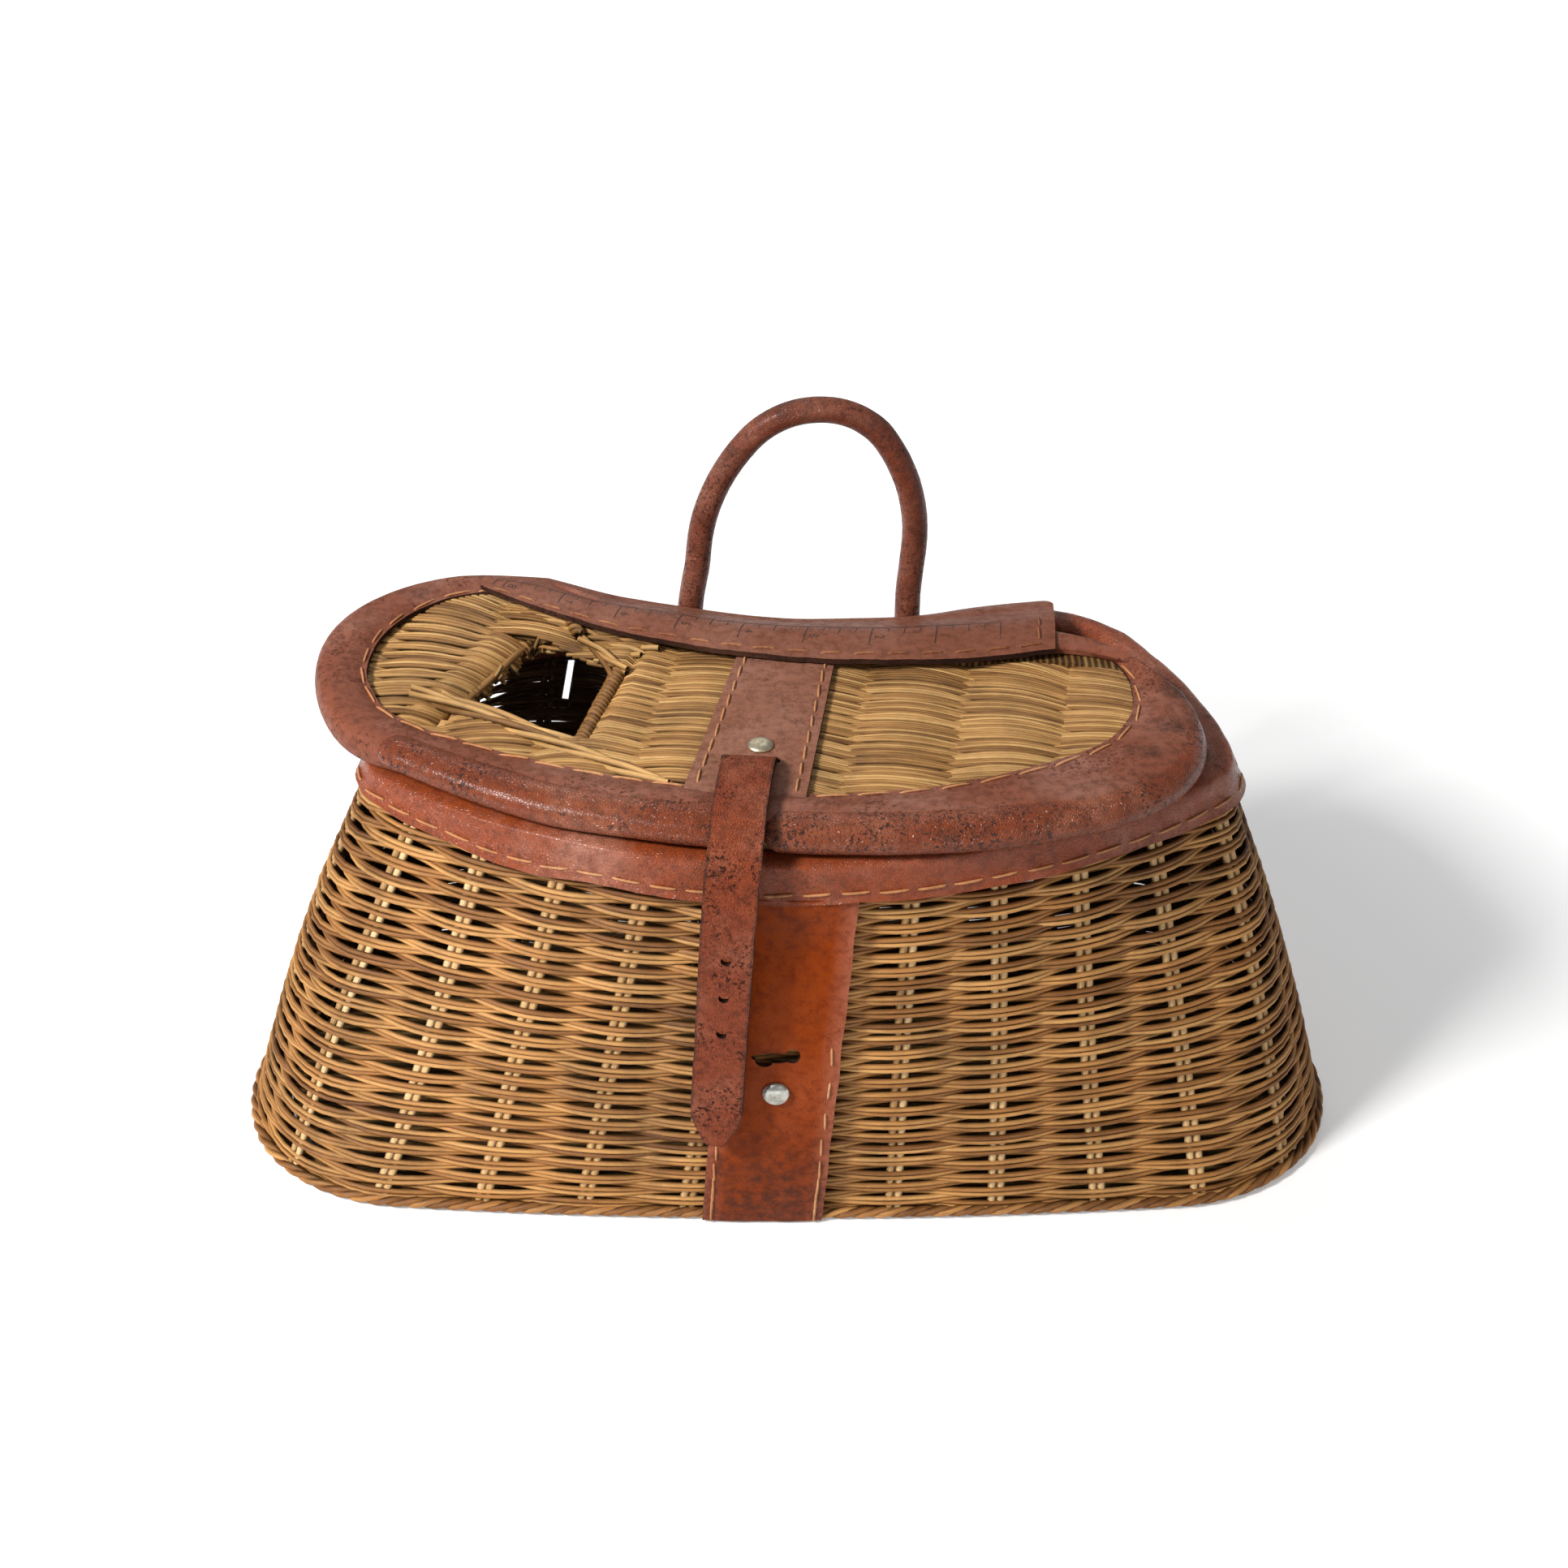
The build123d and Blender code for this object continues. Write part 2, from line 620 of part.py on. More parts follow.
def make_rolls():
    """Padded leather rolls along the front edge of the lid, each round a core, with a break at the strap."""
    rolls = []
    cores = []
    sides = (
        (lid_left, -(roll_break_x - roll_break), roll_left_start, True),
        (lid_right, roll_break_x + roll_break, roll_right_start, False),
    )
    for outline, start_x, end_x, mirrored in sides:
        path = front_roll_path(outline, start_x, end_x, mirrored)
        rolls.append(rod_along(path, roll_radius) - rod_along(path, roll_core_radius + hole_slack))
        cores.append(rod_along(path, roll_core_radius))
    return rolls, cores


def band_prism(front, rear, low, high, front_shift=0.0):
    """Solid between two arcs across the back of the lid, each through three places."""
    front_arc = Edge.make_three_point_arc(*(Vector(x, y + front_shift, low) for x, y in front))
    rear_arc = Edge.make_three_point_arc(*(Vector(x, y, low) for x, y in rear))
    ends = [Edge.make_line(front_arc @ 1, rear_arc @ 1), Edge.make_line(rear_arc @ 0, front_arc @ 0)]
    return extrude(Face(Wire([front_arc, ends[0], rear_arc, ends[1]])), amount=high - low, dir=(0, 0, 1))


def make_ruler_band():
    """Broad band along the back of the lid, turned down behind it in a skirt that the hinge folds along."""
    plate = band_prism(band_front_edge, band_rear_edge, lid_thick, lid_thick + band_thick)
    skirt = band_prism(band_rear_edge, band_rear_edge, band_skirt_low, lid_thick + band_thick, -band_thick)
    beside_lobe = Pos(band_skirt_left - 100.0, 100.0, 0) * Box(200.0, 100.0, 100.0)
    return plate + (skirt - beside_lobe)


def strap_frame():
    return Location((strap_slot[0], strap_slot[1], lid_low), (0, 0, strap_turn))


def make_strap_root():
    """Fixed part of the strap: from under the centre panel, out of the slot and forward over the roll."""
    under = core_top - lid_fit
    run = lid_thick + strap_lift
    reach = hypot(strap_knee[0] - strap_slot[0], strap_knee[1] - strap_slot[1])
    half = strap_thick/2
    side = [
        (strap_pocket, under - strap_thick), (strap_pocket, under), (half, under), (half, run + strap_thick),
        (-reach, run + strap_thick), (-reach, run), (-half, run), (-half, under - strap_thick),
    ]
    profile = Face(polygon([Vector(-strap_width/2, y, z) for y, z in side]))
    root = strap_frame() * extrude(profile, amount=strap_width, dir=(1, 0, 0))
    x, y = strap_rivet_place
    return root - Pos(x, y, lid_low) * Cylinder(strap_rivet_shank/2 + hole_slack, 2*lid_thick)


def thick_line(points, thick):
    """Outline of a strip of one thickness along a line of (y, z) places."""
    sides = ([], [])
    for i, (y, z) in enumerate(points):
        before, after = points[max(i - 1, 0)], points[min(i + 1, len(points) - 1)]
        run = Vector(0, after[0] - before[0], after[1] - before[1]).normalized()
        for side, sign in zip(sides, (1, -1)):
            side.append(Vector(0, y - sign*run.Z*thick/2, z + sign*run.Y*thick/2))
    return sides[0] + sides[1][::-1]


def make_strap_tail():
    """Hanging part of the strap, bent out over the roll, pointed at its end and punched with three holes."""
    half = strap_width/2
    start = (-strap_seam, 0.0)
    profile = Face(polygon(thick_line([start, *strap_hang], strap_thick)))
    strip = Pos(-half, 0, 0) * extrude(profile, amount=strap_width, dir=(1, 0, 0))
    tip = strap_hang[-1][1]
    shoulder = tip + strap_point
    front = [(-half, 9), (half, 9), (half, shoulder), (strap_tip_half, tip), (-strap_tip_half, tip), (-half, shoulder)]
    cut = extrude(Face(polygon([Vector(x, 30, z) for x, z in front])), amount=90, dir=(0, -1, 0))
    tail = strip & cut
    for drop in strap_holes:
        hole = extrude(Plane.XZ * Circle(strap_hole_diameter/2), amount=60)
        tail -= Pos(0, 0, -drop) * hole
    middle = lid_low + lid_thick + strap_lift + strap_thick/2
    return Pos(strap_knee[0], strap_knee[1], middle) * Rot(0, 0, strap_turn) * Rot(0, strap_lean, 0) * tail


def save(name, shape, colour):
    shape = shape if isinstance(shape, Compound) else Compound(shape.solids())
    solids = shape.solids()
    part = solids[0] if len(solids) == 1 else Compound(solids)
    part.label = name
    part.color = Color(*colour)
    export_step(part, f"parts/{name}.step")


wicker = (0.72, 0.52, 0.28)
hide = (0.52, 0.24, 0.15)
metal = (0.75, 0.70, 0.55)

os.makedirs("parts", exist_ok=True)

floor_weave, floor_stick_set = make_floor()
save("base_border", make_base_border(), wicker)
save("base_weave", floor_weave, wicker)
save("base_sticks", floor_stick_set, wicker)
save("side_stakes", make_side_stakes(), wicker)
save("side_weave", make_side_weave(), wicker)
save("rim_hoop", make_rim_hoop(), wicker)
save("rim_binding", make_rim_binding(), hide)
save("front_panel", make_front_panel(), hide)
save("closing_stud", make_stud(), metal)
save("hinge_strip", make_hinge_strip(), hide)
save("handle_tabs", make_handle_tabs(), hide)
save("handle_tab_rivets", Compound([solid for rivet in tab_rivets() for solid in rivet.solids()]), metal)
handle_leather, handle_core = make_handle()
save("handle_leather", handle_leather, hide)
save("handle_core", handle_core, wicker)

lid_weave, lid_stake_set = make_lid_weave()
(roll_left, roll_right), roll_cores = make_rolls()
save("lid_hoop", on_lid(make_lid_hoop()), wicker)
save("lid_weave", on_lid(lid_weave), wicker)
save("lid_stakes", on_lid(lid_stake_set), wicker)
save("lid_binding", on_lid(make_lid_binding()), hide)
save("lid_roll_left", on_lid(roll_left), hide)
save("lid_roll_right", on_lid(roll_right), hide)
save("lid_roll_cores", on_lid(Compound([s for core in roll_cores for s in core.solids()])), wicker)
save("lid_centre_panel", on_lid(make_centre_panel()), hide)
save("ruler_band", on_lid(make_ruler_band()), hide)
save("strap_root", make_strap_root(), hide)
save("strap_rivet", on_lid(make_strap_rivet()), metal)
save("strap_tail", make_strap_tail(), hide)
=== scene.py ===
import random
from math import atan2, cos, hypot, pi, radians, sin, sqrt
import bmesh
import bpy
from mathutils import Euler, Matrix, Vector
from mathutils import noise as field


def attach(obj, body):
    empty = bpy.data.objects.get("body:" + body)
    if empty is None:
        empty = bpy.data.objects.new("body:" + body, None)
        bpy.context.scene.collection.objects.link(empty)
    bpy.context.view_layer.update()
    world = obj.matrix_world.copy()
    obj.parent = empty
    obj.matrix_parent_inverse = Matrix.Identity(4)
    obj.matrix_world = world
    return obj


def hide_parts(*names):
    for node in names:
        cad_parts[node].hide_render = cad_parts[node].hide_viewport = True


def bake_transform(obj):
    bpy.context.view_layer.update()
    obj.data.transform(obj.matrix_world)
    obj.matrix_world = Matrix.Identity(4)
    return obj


# Wicker fishing creel. Lengths are written in millimetres and made metres where a mesh is laid out.
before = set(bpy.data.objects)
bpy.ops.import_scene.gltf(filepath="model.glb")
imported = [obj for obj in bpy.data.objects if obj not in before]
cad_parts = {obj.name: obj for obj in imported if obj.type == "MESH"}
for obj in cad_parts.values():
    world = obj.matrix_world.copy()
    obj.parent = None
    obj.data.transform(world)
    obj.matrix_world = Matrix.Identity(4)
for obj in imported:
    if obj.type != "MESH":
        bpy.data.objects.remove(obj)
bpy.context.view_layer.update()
MM = 0.001

# ------------------------ woven floor
# The floor is woven cane on nine flat sticks. It is cut to the border and lies flat on the ground.
# Its weave and sticks are the frame's own pieces, and only take their cane finish here.
def node(tree, kind, feeds, **settings):
    """Adds one node; a feed is a socket to link or a value to set."""
    made = tree.nodes.new(kind)
    for name, value in settings.items():
        setattr(made, name, value)
    for name, value in feeds.items():
        if isinstance(value, bpy.types.NodeSocket):
            tree.links.new(value, made.inputs[name])
        else:
            made.inputs[name].default_value = value
    return made


def calc(tree, operation, a, b=0.0, clamp=False):
    return node(tree, "ShaderNodeMath", {0: a, 1: b}, operation=operation, use_clamp=clamp).outputs[0]


def times(tree, a, b, clamp=False):
    return calc(tree, "MULTIPLY", a, b, clamp)


def plus(tree, a, b, clamp=False):
    return calc(tree, "ADD", a, b, clamp)


def remap(tree, value, low, high, least=0.0, most=1.0, kind="LINEAR"):
    feeds = {0: value, 1: low, 2: high, 3: least, 4: most}
    return node(tree, "ShaderNodeMapRange", feeds, interpolation_type=kind).outputs[0]


def clouds(tree, place, scale, detail, roughness=0.5):
    feeds = {"Vector": place, "Scale": scale, "Detail": detail, "Roughness": roughness}
    return node(tree, "ShaderNodeTexNoise", feeds).outputs["Fac"]


def combine(tree, x, y, z):
    return node(tree, "ShaderNodeCombineXYZ", {"X": x, "Y": y, "Z": z}).outputs[0]


def blend_colour(tree, factor, a, b, kind="MIX"):
    return node(tree, "ShaderNodeMix", {0: factor, 6: a, 7: b}, data_type="RGBA", blend_type=kind).outputs[2]


def start_group(name, numbers, colours):
    """Node group that takes a place, numbers and colours, and gives a colour, a roughness and a height."""
    group = bpy.data.node_groups.new(name, "ShaderNodeTree")
    takes = [("Object", "Vector")] + [(label, "Float") for label in numbers]
    takes += [(label, "Color") for label in colours]
    for label, kind in takes:
        group.interface.new_socket(label, in_out="INPUT", socket_type="NodeSocket" + kind)
    for label, kind in (("Colour", "Color"), ("Roughness", "Float"), ("Height", "Float")):
        group.interface.new_socket(label, in_out="OUTPUT", socket_type="NodeSocket" + kind)
    return group, group.nodes.new("NodeGroupInput").outputs, group.nodes.new("NodeGroupOutput").inputs


def start_material(name):
    """New material, its nodes, its Principled BSDF and its texture coordinates."""
    made = bpy.data.materials.new(name)
    made.use_nodes = True
    tree = made.node_tree
    return made, tree, tree.nodes["Principled BSDF"], tree.nodes.new("ShaderNodeTexCoord").outputs


def raise_grain(tree, skin, height, strength, depth):
    bump = node(tree, "ShaderNodeBump", {"Height": height, "Strength": strength, "Distance": depth})
    tree.links.new(bump.outputs["Normal"], skin.inputs["Normal"])


# Split cane: long fibres, a tone of its own for each strand and grime in patches, with painted shade: each
# strand stays light on its outer face and is darkened on its flanks and back, where its neighbours shade it.
cane, taken, given = start_group("cane_fibre", ("Along", "Strand", "Grime"), ("Pale", "Mid", "Dark"))
whole = calc(cane, "FLOOR", taken["Strand"])
across = calc(cane, "FRACT", taken["Strand"])
tone = node(cane, "ShaderNodeTexWhiteNoise", {"W": whole}, noise_dimensions="1D").outputs["Value"]
spread = combine(cane, times(cane, taken["Along"], 0.35), times(cane, taken["Strand"], 9.0),
                 times(cane, whole, 1.7))
fibre = clouds(cane, spread, 2.6, 4.0, 0.62)
slow = combine(cane, times(cane, taken["Along"], 0.12), times(cane, whole, 3.1), tone)
length_tone = clouds(cane, slow, 2.0, 3.0)
patch = clouds(cane, taken["Object"], 26.0, 5.0, 0.7)
mixed = plus(cane, times(cane, tone, 0.50), times(cane, fibre, 0.70))
mixed = plus(cane, mixed, times(cane, length_tone, 0.5))
mixed = calc(cane, "SUBTRACT", mixed, 0.36, True)
low_tone = blend_colour(cane, remap(cane, mixed, 0.12, 0.5), taken["Dark"], taken["Mid"])
full_tone = blend_colour(cane, remap(cane, mixed, 0.45, 0.85), low_tone, taken["Pale"])
# Painted shade round each strand: light at the middle of the UV's width, on its outer face, and darker
# towards its flanks and back.
flank = calc(cane, "ABSOLUTE", calc(cane, "SUBTRACT", across, 0.5))
shade = remap(cane, flank, 0.08, 0.32, 1.0, 0.22)
grimed = remap(cane, patch, 0.42, 0.7)
shade = times(cane, shade, calc(cane, "SUBTRACT", 1.0, times(cane, grimed, taken["Grime"])))
grey = node(cane, "ShaderNodeCombineColor", {0: shade, 1: shade, 2: shade}).outputs[0]
cane.links.new(blend_colour(cane, 1.0, full_tone, grey, "MULTIPLY"), given["Colour"])
cane.links.new(remap(cane, fibre, 0.3, 0.7, 0.34, 0.62), given["Roughness"])
cane.links.new(fibre, given["Height"])


def lay_skin(tree, skin, effect, relief, depth, shine):
    """Feeds a group's colour, roughness and height to the surface."""
    tree.links.new(effect.outputs["Colour"], skin.inputs["Base Color"])
    tree.links.new(effect.outputs["Roughness"], skin.inputs["Roughness"])
    raise_grain(tree, skin, effect.outputs["Height"], relief, depth)
    skin.inputs["Specular IOR Level"].default_value = shine


def cane_finish(name, pale, mid, dark, grime=0.35, axes=None, rib=2.5, relief=0.25):
    """Split cane, laid along its strands or, on a CAD solid, along the first of two axes; there the second
    axis is cut into strands rib millimetres wide, each with a strand's painted shade.
    """
    made, tree, skin, spots = start_material(name)
    split = node(tree, "ShaderNodeSeparateXYZ", {0: spots["Object" if axes else "UV"]}).outputs
    length, strand = split["X"], split["Y"]
    if axes:
        length = times(tree, split[axes[0]], 100.0)
        strand = plus(tree, times(tree, split[axes[1]], 1000.0/rib), 400.5)
    feeds = {"Along": length, "Strand": strand, "Object": spots["Object"], "Grime": grime,
             "Pale": (*pale, 1.0), "Mid": (*mid, 1.0), "Dark": (*dark, 1.0)}
    effect = node(tree, "ShaderNodeGroup", feeds, node_tree=cane)
    lay_skin(tree, skin, effect, relief, 0.0006, 0.28)
    return made


def finish(piece, *materials):
    """Puts materials in a piece's slots, the first one on slot 0."""
    slots = piece.data.materials
    while len(slots) < len(materials):
        slots.append(None)
    for place, material in enumerate(materials):
        slots[place] = material
    return piece


FLOOR_TONES = (0.50, 0.31, 0.12), (0.30, 0.155, 0.05), (0.10, 0.045, 0.015)
floor_cane = cane_finish("floor_cane", *FLOOR_TONES, axes="XY", rib=4.5)
cross_cane = cane_finish("cross_cane", *FLOOR_TONES, axes="ZX")
finish(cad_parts["base_weave"], floor_cane)
finish(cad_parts["base_sticks"], floor_cane)

# ------------------------ stakes of the side
# Twenty-six pairs of round stakes stand in the border and lean a little as they rise to the rim.
# The wall is a kidney in plan and flares towards the floor.
BODY_BASE = dict(front=76.5, corner=(145.5, 5.6, 76.7), side=200.0, lobe=(150.0, 40.0, 60.0), hollow=84.0)
BODY_RIM = dict(front=76.5, corner=(147.5, -5.0, 18.0), side=155.0, lobe=(85.0, 46.0, 57.0), hollow=80.0)
RIM_TOP, RIM_SHIFT, WALL_INSET = 174.5, 3.0, 6.5
STAKE_PAIRS, STAKE_LEAN, STAKE_FOOT, STAKE_HEAD, STAKE_STEPS = 26, 0.012, 4.0, 167.0, 12


def mix(a, b, share):
    if isinstance(a, dict):
        return {key: mix(a[key], b[key], share) for key in a}
    if isinstance(a, tuple):
        return tuple(mix(p, q, share) for p, q in zip(a, b))
    return a + (b - a)*share


def half_arcs(front, corner, side, lobe, hollow):
    """Arcs of half a kidney from its front to its back: centre, radius, sign of growth, from, to."""
    xc, yc, rc = corner
    xl, yl, rl = lobe
    reach = front - rc
    front_y = (xc**2 + yc**2 - reach**2)/(2*(reach + yc))
    to_corner, to_lobe = side - rc, side - rl
    apart = hypot(xl - xc, yl - yc)
    along = (to_corner**2 - to_lobe**2 + apart**2)/(2*apart)
    off = sqrt(to_corner**2 - along**2)
    ux, uy = (xl - xc)/apart, (yl - yc)/apart
    xs, ys = min((xc + ux*along - uy*off, yc + uy*along + ux*off),
                 (xc + ux*along + uy*off, yc + uy*along - ux*off))
    back_y = (xl**2 + yl**2 - (rl - hollow)**2)/(2*(yl + rl - hollow))
    a0, a1, a2 = atan2(yc - front_y, xc), atan2(yc - ys, xc - xs), atan2(yl - ys, xl - xs)
    a3 = atan2(back_y - yl, -xl)
    return [((0.0, front_y), front_y + front, 1, -pi/2, a0), ((xc, yc), rc, 1, a0, a1),
            ((xs, ys), side, 1, a1, a2), ((xl, yl), rl, 1, a2, a3),
            ((0.0, back_y), back_y - hollow, -1, a3 - pi, -pi/2)]


def outline(right, left, inset=0.0):
    """Round of a kidney with the length of each arc, measured on the outline set in by inset."""
    arcs = [(1, *arc) for arc in half_arcs(**right)] + [(-1, *arc) for arc in reversed(half_arcs(**left))]
    lengths = [(radius - sign*inset)*abs(end - start) for _, _, radius, sign, start, end in arcs]
    return arcs, lengths


def place_on(round_of, share, grow):
    """x, y and outward direction at a share of the way round, grown outwards."""
    arcs, lengths = round_of
    left = (share % 1.0)*sum(lengths)
    for (flip, centre, radius, sign, start, end), length in zip(arcs, lengths):
        if left <= length or length is lengths[-1]:
            part = min(left/length, 1.0)
            angle = start + (end - start)*(part if flip > 0 else 1 - part)
            size = radius + sign*grow
            spot = flip*(centre[0] + size*cos(angle)), centre[1] + size*sin(angle)
            return (*spot, flip*sign*cos(angle), sign*sin(angle))
        left -= length
    return place_on(round_of, 0.0, grow)


walls = {}
BULGE_LEFT = (5.2, 5.8, 5.8, 5.2, 3.4, -0.2, -3.2)
BULGE_RIGHT = (3.6, 4.4, 4.2, 3.6, 2.4, 0.2, -1.6)


def bulge(nx, z):
    """How far the two ends of the wall belly out between the foot and the rim."""
    step = min(max(z, 0.0), 173.9)/29.0
    k = int(step)
    ends = BULGE_RIGHT if nx > 0 else BULGE_LEFT
    return mix(ends[k], ends[min(k + 1, 6)], step - k)*min(abs(nx)*1.15, 1.0)**1.5


def on_wall(share, z, grow, belly=1.0):
    """Point on the wall in millimetres; grow is measured from the middle of the wall."""
    key = round(z, 1)
    if key not in walls:
        shape = mix(BODY_BASE, BODY_RIM, key/RIM_TOP)
        walls[key] = outline(shape, shape, WALL_INSET)
    x, y, nx, ny = place_on(walls[key], share, grow - WALL_INSET)
    out = belly*bulge(nx, z)
    return Vector((x + nx*out + RIM_SHIFT*z/RIM_TOP, y + ny*out, z)), Vector((nx, ny, 0.0))


def clear_selection():
    bpy.ops.object.select_all(action="DESELECT")


def new_piece(add, name="part", **settings):
    """A primitive, added with nothing else selected."""
    clear_selection()
    add(**settings)
    piece = bpy.context.object
    piece.name = name
    return piece


UP = Vector((0.0, 0.0, 1.0))


def tube_mesh(name, points, sides, size, closed=False, strand=0, spin=UP):
    """Strand swept through points: a grid rolled up round the path.

    size is the pair of radii across and up, and spin the upward direction: one for all or one for each point.
    """
    count = len(points)
    girths = size if isinstance(size, list) else [size]*count
    ups = spin if isinstance(spin, list) else [spin]*count
    piece = new_piece(bpy.ops.mesh.primitive_grid_add, name,
                      x_subdivisions=count if closed else count - 1, y_subdivisions=sides)
    mesh = piece.data
    places, lengths, run = [], [], 0.0
    steps = count + 1 if closed else count
    for i in range(steps):
        here = points[i % count]
        after = points[(i + 1) % count] if closed or i < count - 1 else here
        before = points[(i - 1) % count] if closed or i > 0 else here
        along = (after - before).normalized()
        out = along.cross(ups[i % count]).normalized()
        up = out.cross(along).normalized()
        places.append((here, out, up, girths[i % count]))
        lengths.append(run)
        run += (points[(i + 1) % count] - here).length
    coords = []
    for j in range(sides + 1):
        angle = 2*pi*j/sides
        for here, out, up, (wide, tall) in places:
            coords.append((here - out*cos(angle)*wide + up*sin(angle)*tall)*MM)
    mesh.vertices.foreach_set("co", [c for point in coords for c in point])
    # The second UV coordinate runs round the strand: cane paints its highlight where it is one half, on the
    # side facing along crossed with spin, and painted shade on the flanks and the side opposite.
    chart = mesh.uv_layers.active.data
    for loop in mesh.loops:
        j, i = divmod(loop.vertex_index, steps)
        chart[loop.index].uv = (lengths[i]/10.0, strand + (j/sides*0.998 if j < sides else 0.998))
    mesh.update()
    return piece


def in_edit_mode(*steps):
    """Runs mesh operators on the active piece, with everything selected."""
    bpy.ops.object.mode_set(mode="EDIT")
    bpy.ops.mesh.select_all(action="SELECT")
    for step, settings in steps:
        step(**settings)
    bpy.ops.object.mode_set(mode="OBJECT")


def join(pieces, name, merge=0.00001):
    """Joins pieces, closes the seams of rolled grids and smooths them."""
    clear_selection()
    for piece in pieces:
        piece.select_set(True)
    bpy.context.view_layer.objects.active = pieces[0]
    bpy.ops.object.join()
    piece = bpy.context.object
    piece.name = name
    piece.data.name = name
    in_edit_mode((bpy.ops.mesh.remove_doubles, {"threshold": merge}))
    bpy.ops.object.shade_smooth()
    return piece


chance = random.Random(7)
stakes = []
for pair in range(STAKE_PAIRS):
    drift = chance.uniform(-0.0012, 0.0012)
    for side in (-1, 1):
        line, outs = [], []
        for k in range(STAKE_STEPS + 1):
            z = mix(STAKE_FOOT, STAKE_HEAD, k/STAKE_STEPS)
            share = pair/STAKE_PAIRS + STAKE_LEAN*z/RIM_TOP + drift*sin(pi*k/STAKE_STEPS)
            point, out = on_wall(share, z, 0.3)
            line.append(point + Vector((-out.y, out.x, 0.0))*side*1.7)
            outs.append(Vector((out.y, -out.x, 0.0)))
        # The outs also turn each stake's painted highlight to face out of the wall.
        stakes.append(tube_mesh("stake", line, 7, (1.4, 1.66), strand=2*pair + side, spin=outs))
stakes = join(stakes, "stakes")
stake_cane = cane_finish("stake_cane", (0.92, 0.66, 0.36), (0.72, 0.44, 0.19), (0.30, 0.15, 0.05), grime=0.25)
finish(stakes, stake_cane)
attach(stakes, "body")
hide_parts("side_stakes")

# ------------------------ weaving of the side
# Doubled reeds pass in front of one pair of stakes and behind the next, and each row takes the
# other way from the row below, so dark lens-shaped gaps open beside the stakes. A narrow upright
# slot between two posts is left in the back of the wall.
ROWS, ROW_LOW, ROW_HIGH, REED_SAMPLES = 49, 5.2, 165.8, 6
SAMPLES = STAKE_PAIRS*REED_SAMPLES
SLOT, SLOT_LOW, SLOT_HIGH = (0.6128, 0.6183), 134.5, 155.0


def near(value, middle, width):
    """One at the middle, falling to nothing a width away."""
    return max(0.0, 1 - abs(value - middle)/width)


def grain(x, y, z, scale=1.0):
    return field.noise(Vector((x, y, z))*scale)


def row_z(z, share):
    """Rows sag a little and ride up and down along the wall."""
    sway = grain(cos(2*pi*share)*2.2, sin(2*pi*share)*2.2, z*0.03)
    return z + 1.2*sway*sin(pi*min(z, 165.0)/170.0)


reeds = []
for row in range(ROWS):
    base_z = mix(ROW_LOW, ROW_HIGH, row/(ROWS - 1))
    wander = [chance.uniform(-1, 1) for _ in range(STAKE_PAIRS)]
    swell = [chance.uniform(-1, 1) for _ in range(STAKE_PAIRS)]
    at_foot = max(0.0, 1.0 - base_z/62.0)
    for lane in (-1, 1):
        line, sizes, places = [], [], []
        strand = 200 + 2*row + (lane + 1)//2
        for i in range(SAMPLES):
            step, part = divmod(i, REED_SAMPLES)
            part /= REED_SAMPLES
            wave = cos(pi*part)*(1 if (step + row) % 2 == 0 else -1)
            ease = part*part*(3 - 2*part)
            lift = mix(wander[step], wander[(step + 1) % STAKE_PAIRS], ease)
            girth = mix(swell[step], swell[(step + 1) % STAKE_PAIRS], ease)
            share = i/SAMPLES
            rear = min(max(0.0, 0.25 - abs(share - 0.5))/0.05, 1.0)
            z = row_z(base_z, share) + (0.6 - 0.4*rear)*lift + lane*(0.86 + 0.24*wave)
            share += STAKE_LEAN*z/RIM_TOP
            drawn = abs(wave)**0.8*(1 if wave > 0 else -1)
            loose = near(share, 0.6505, 0.014) if 124.0 < base_z < 153.0 else 0.0
            stand_off = (1.95 - 0.5*at_foot*(1 - rear) - 0.85*rear*(1 - loose))*drawn + lane*0.15*girth
            line.append(on_wall(share, z, stand_off)[0])
            places.append(share)
            sizes.append((1.10 + 0.06*girth, 1.0 + 0.06*girth + 0.30*rear - 0.66*loose))
        # Left at the default spin, each reed takes its painted highlight on its outer face and painted shade
        # above, below and behind it.
        cut = [i for i, share in enumerate(places) if SLOT[0] - 0.002 < share < SLOT[1] + 0.002]
        if SLOT_LOW < base_z < SLOT_HIGH and cut:
            after = cut[-1] + 1
            order = [(after + i) % len(line) for i in range(len(line) - len(cut))]
            run = [on_wall(SLOT[1], line[after].z, 0.4)[0]] + [line[i] for i in order]
            run.append(on_wall(SLOT[0], line[cut[0] - 1].z, 0.4)[0])
            girths = [sizes[order[0]]] + [sizes[i] for i in order] + [sizes[order[-1]]]
            reeds.append(tube_mesh("reed", run, 5, girths, strand=strand))
        else:
            reeds.append(tube_mesh("reed", line, 5, sizes, closed=True, strand=strand))
for edge in SLOT:
    post = [on_wall(edge, mix(SLOT_LOW - 5.0, SLOT_HIGH + 5.0, k/8), 0.4)[0] for k in range(9)]
    reeds.append(tube_mesh("reed", post, 6, (1.1, 1.1), strand=180, spin=Vector((1, 0.3, 0))))
reeds = join(reeds, "side_reeds")
side_cane = cane_finish("side_cane", (0.80, 0.43, 0.145), (0.52, 0.228, 0.062), (0.17, 0.056, 0.012),
                        grime=0.5)
finish(reeds, side_cane)
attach(reeds, "body")
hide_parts("side_weave")

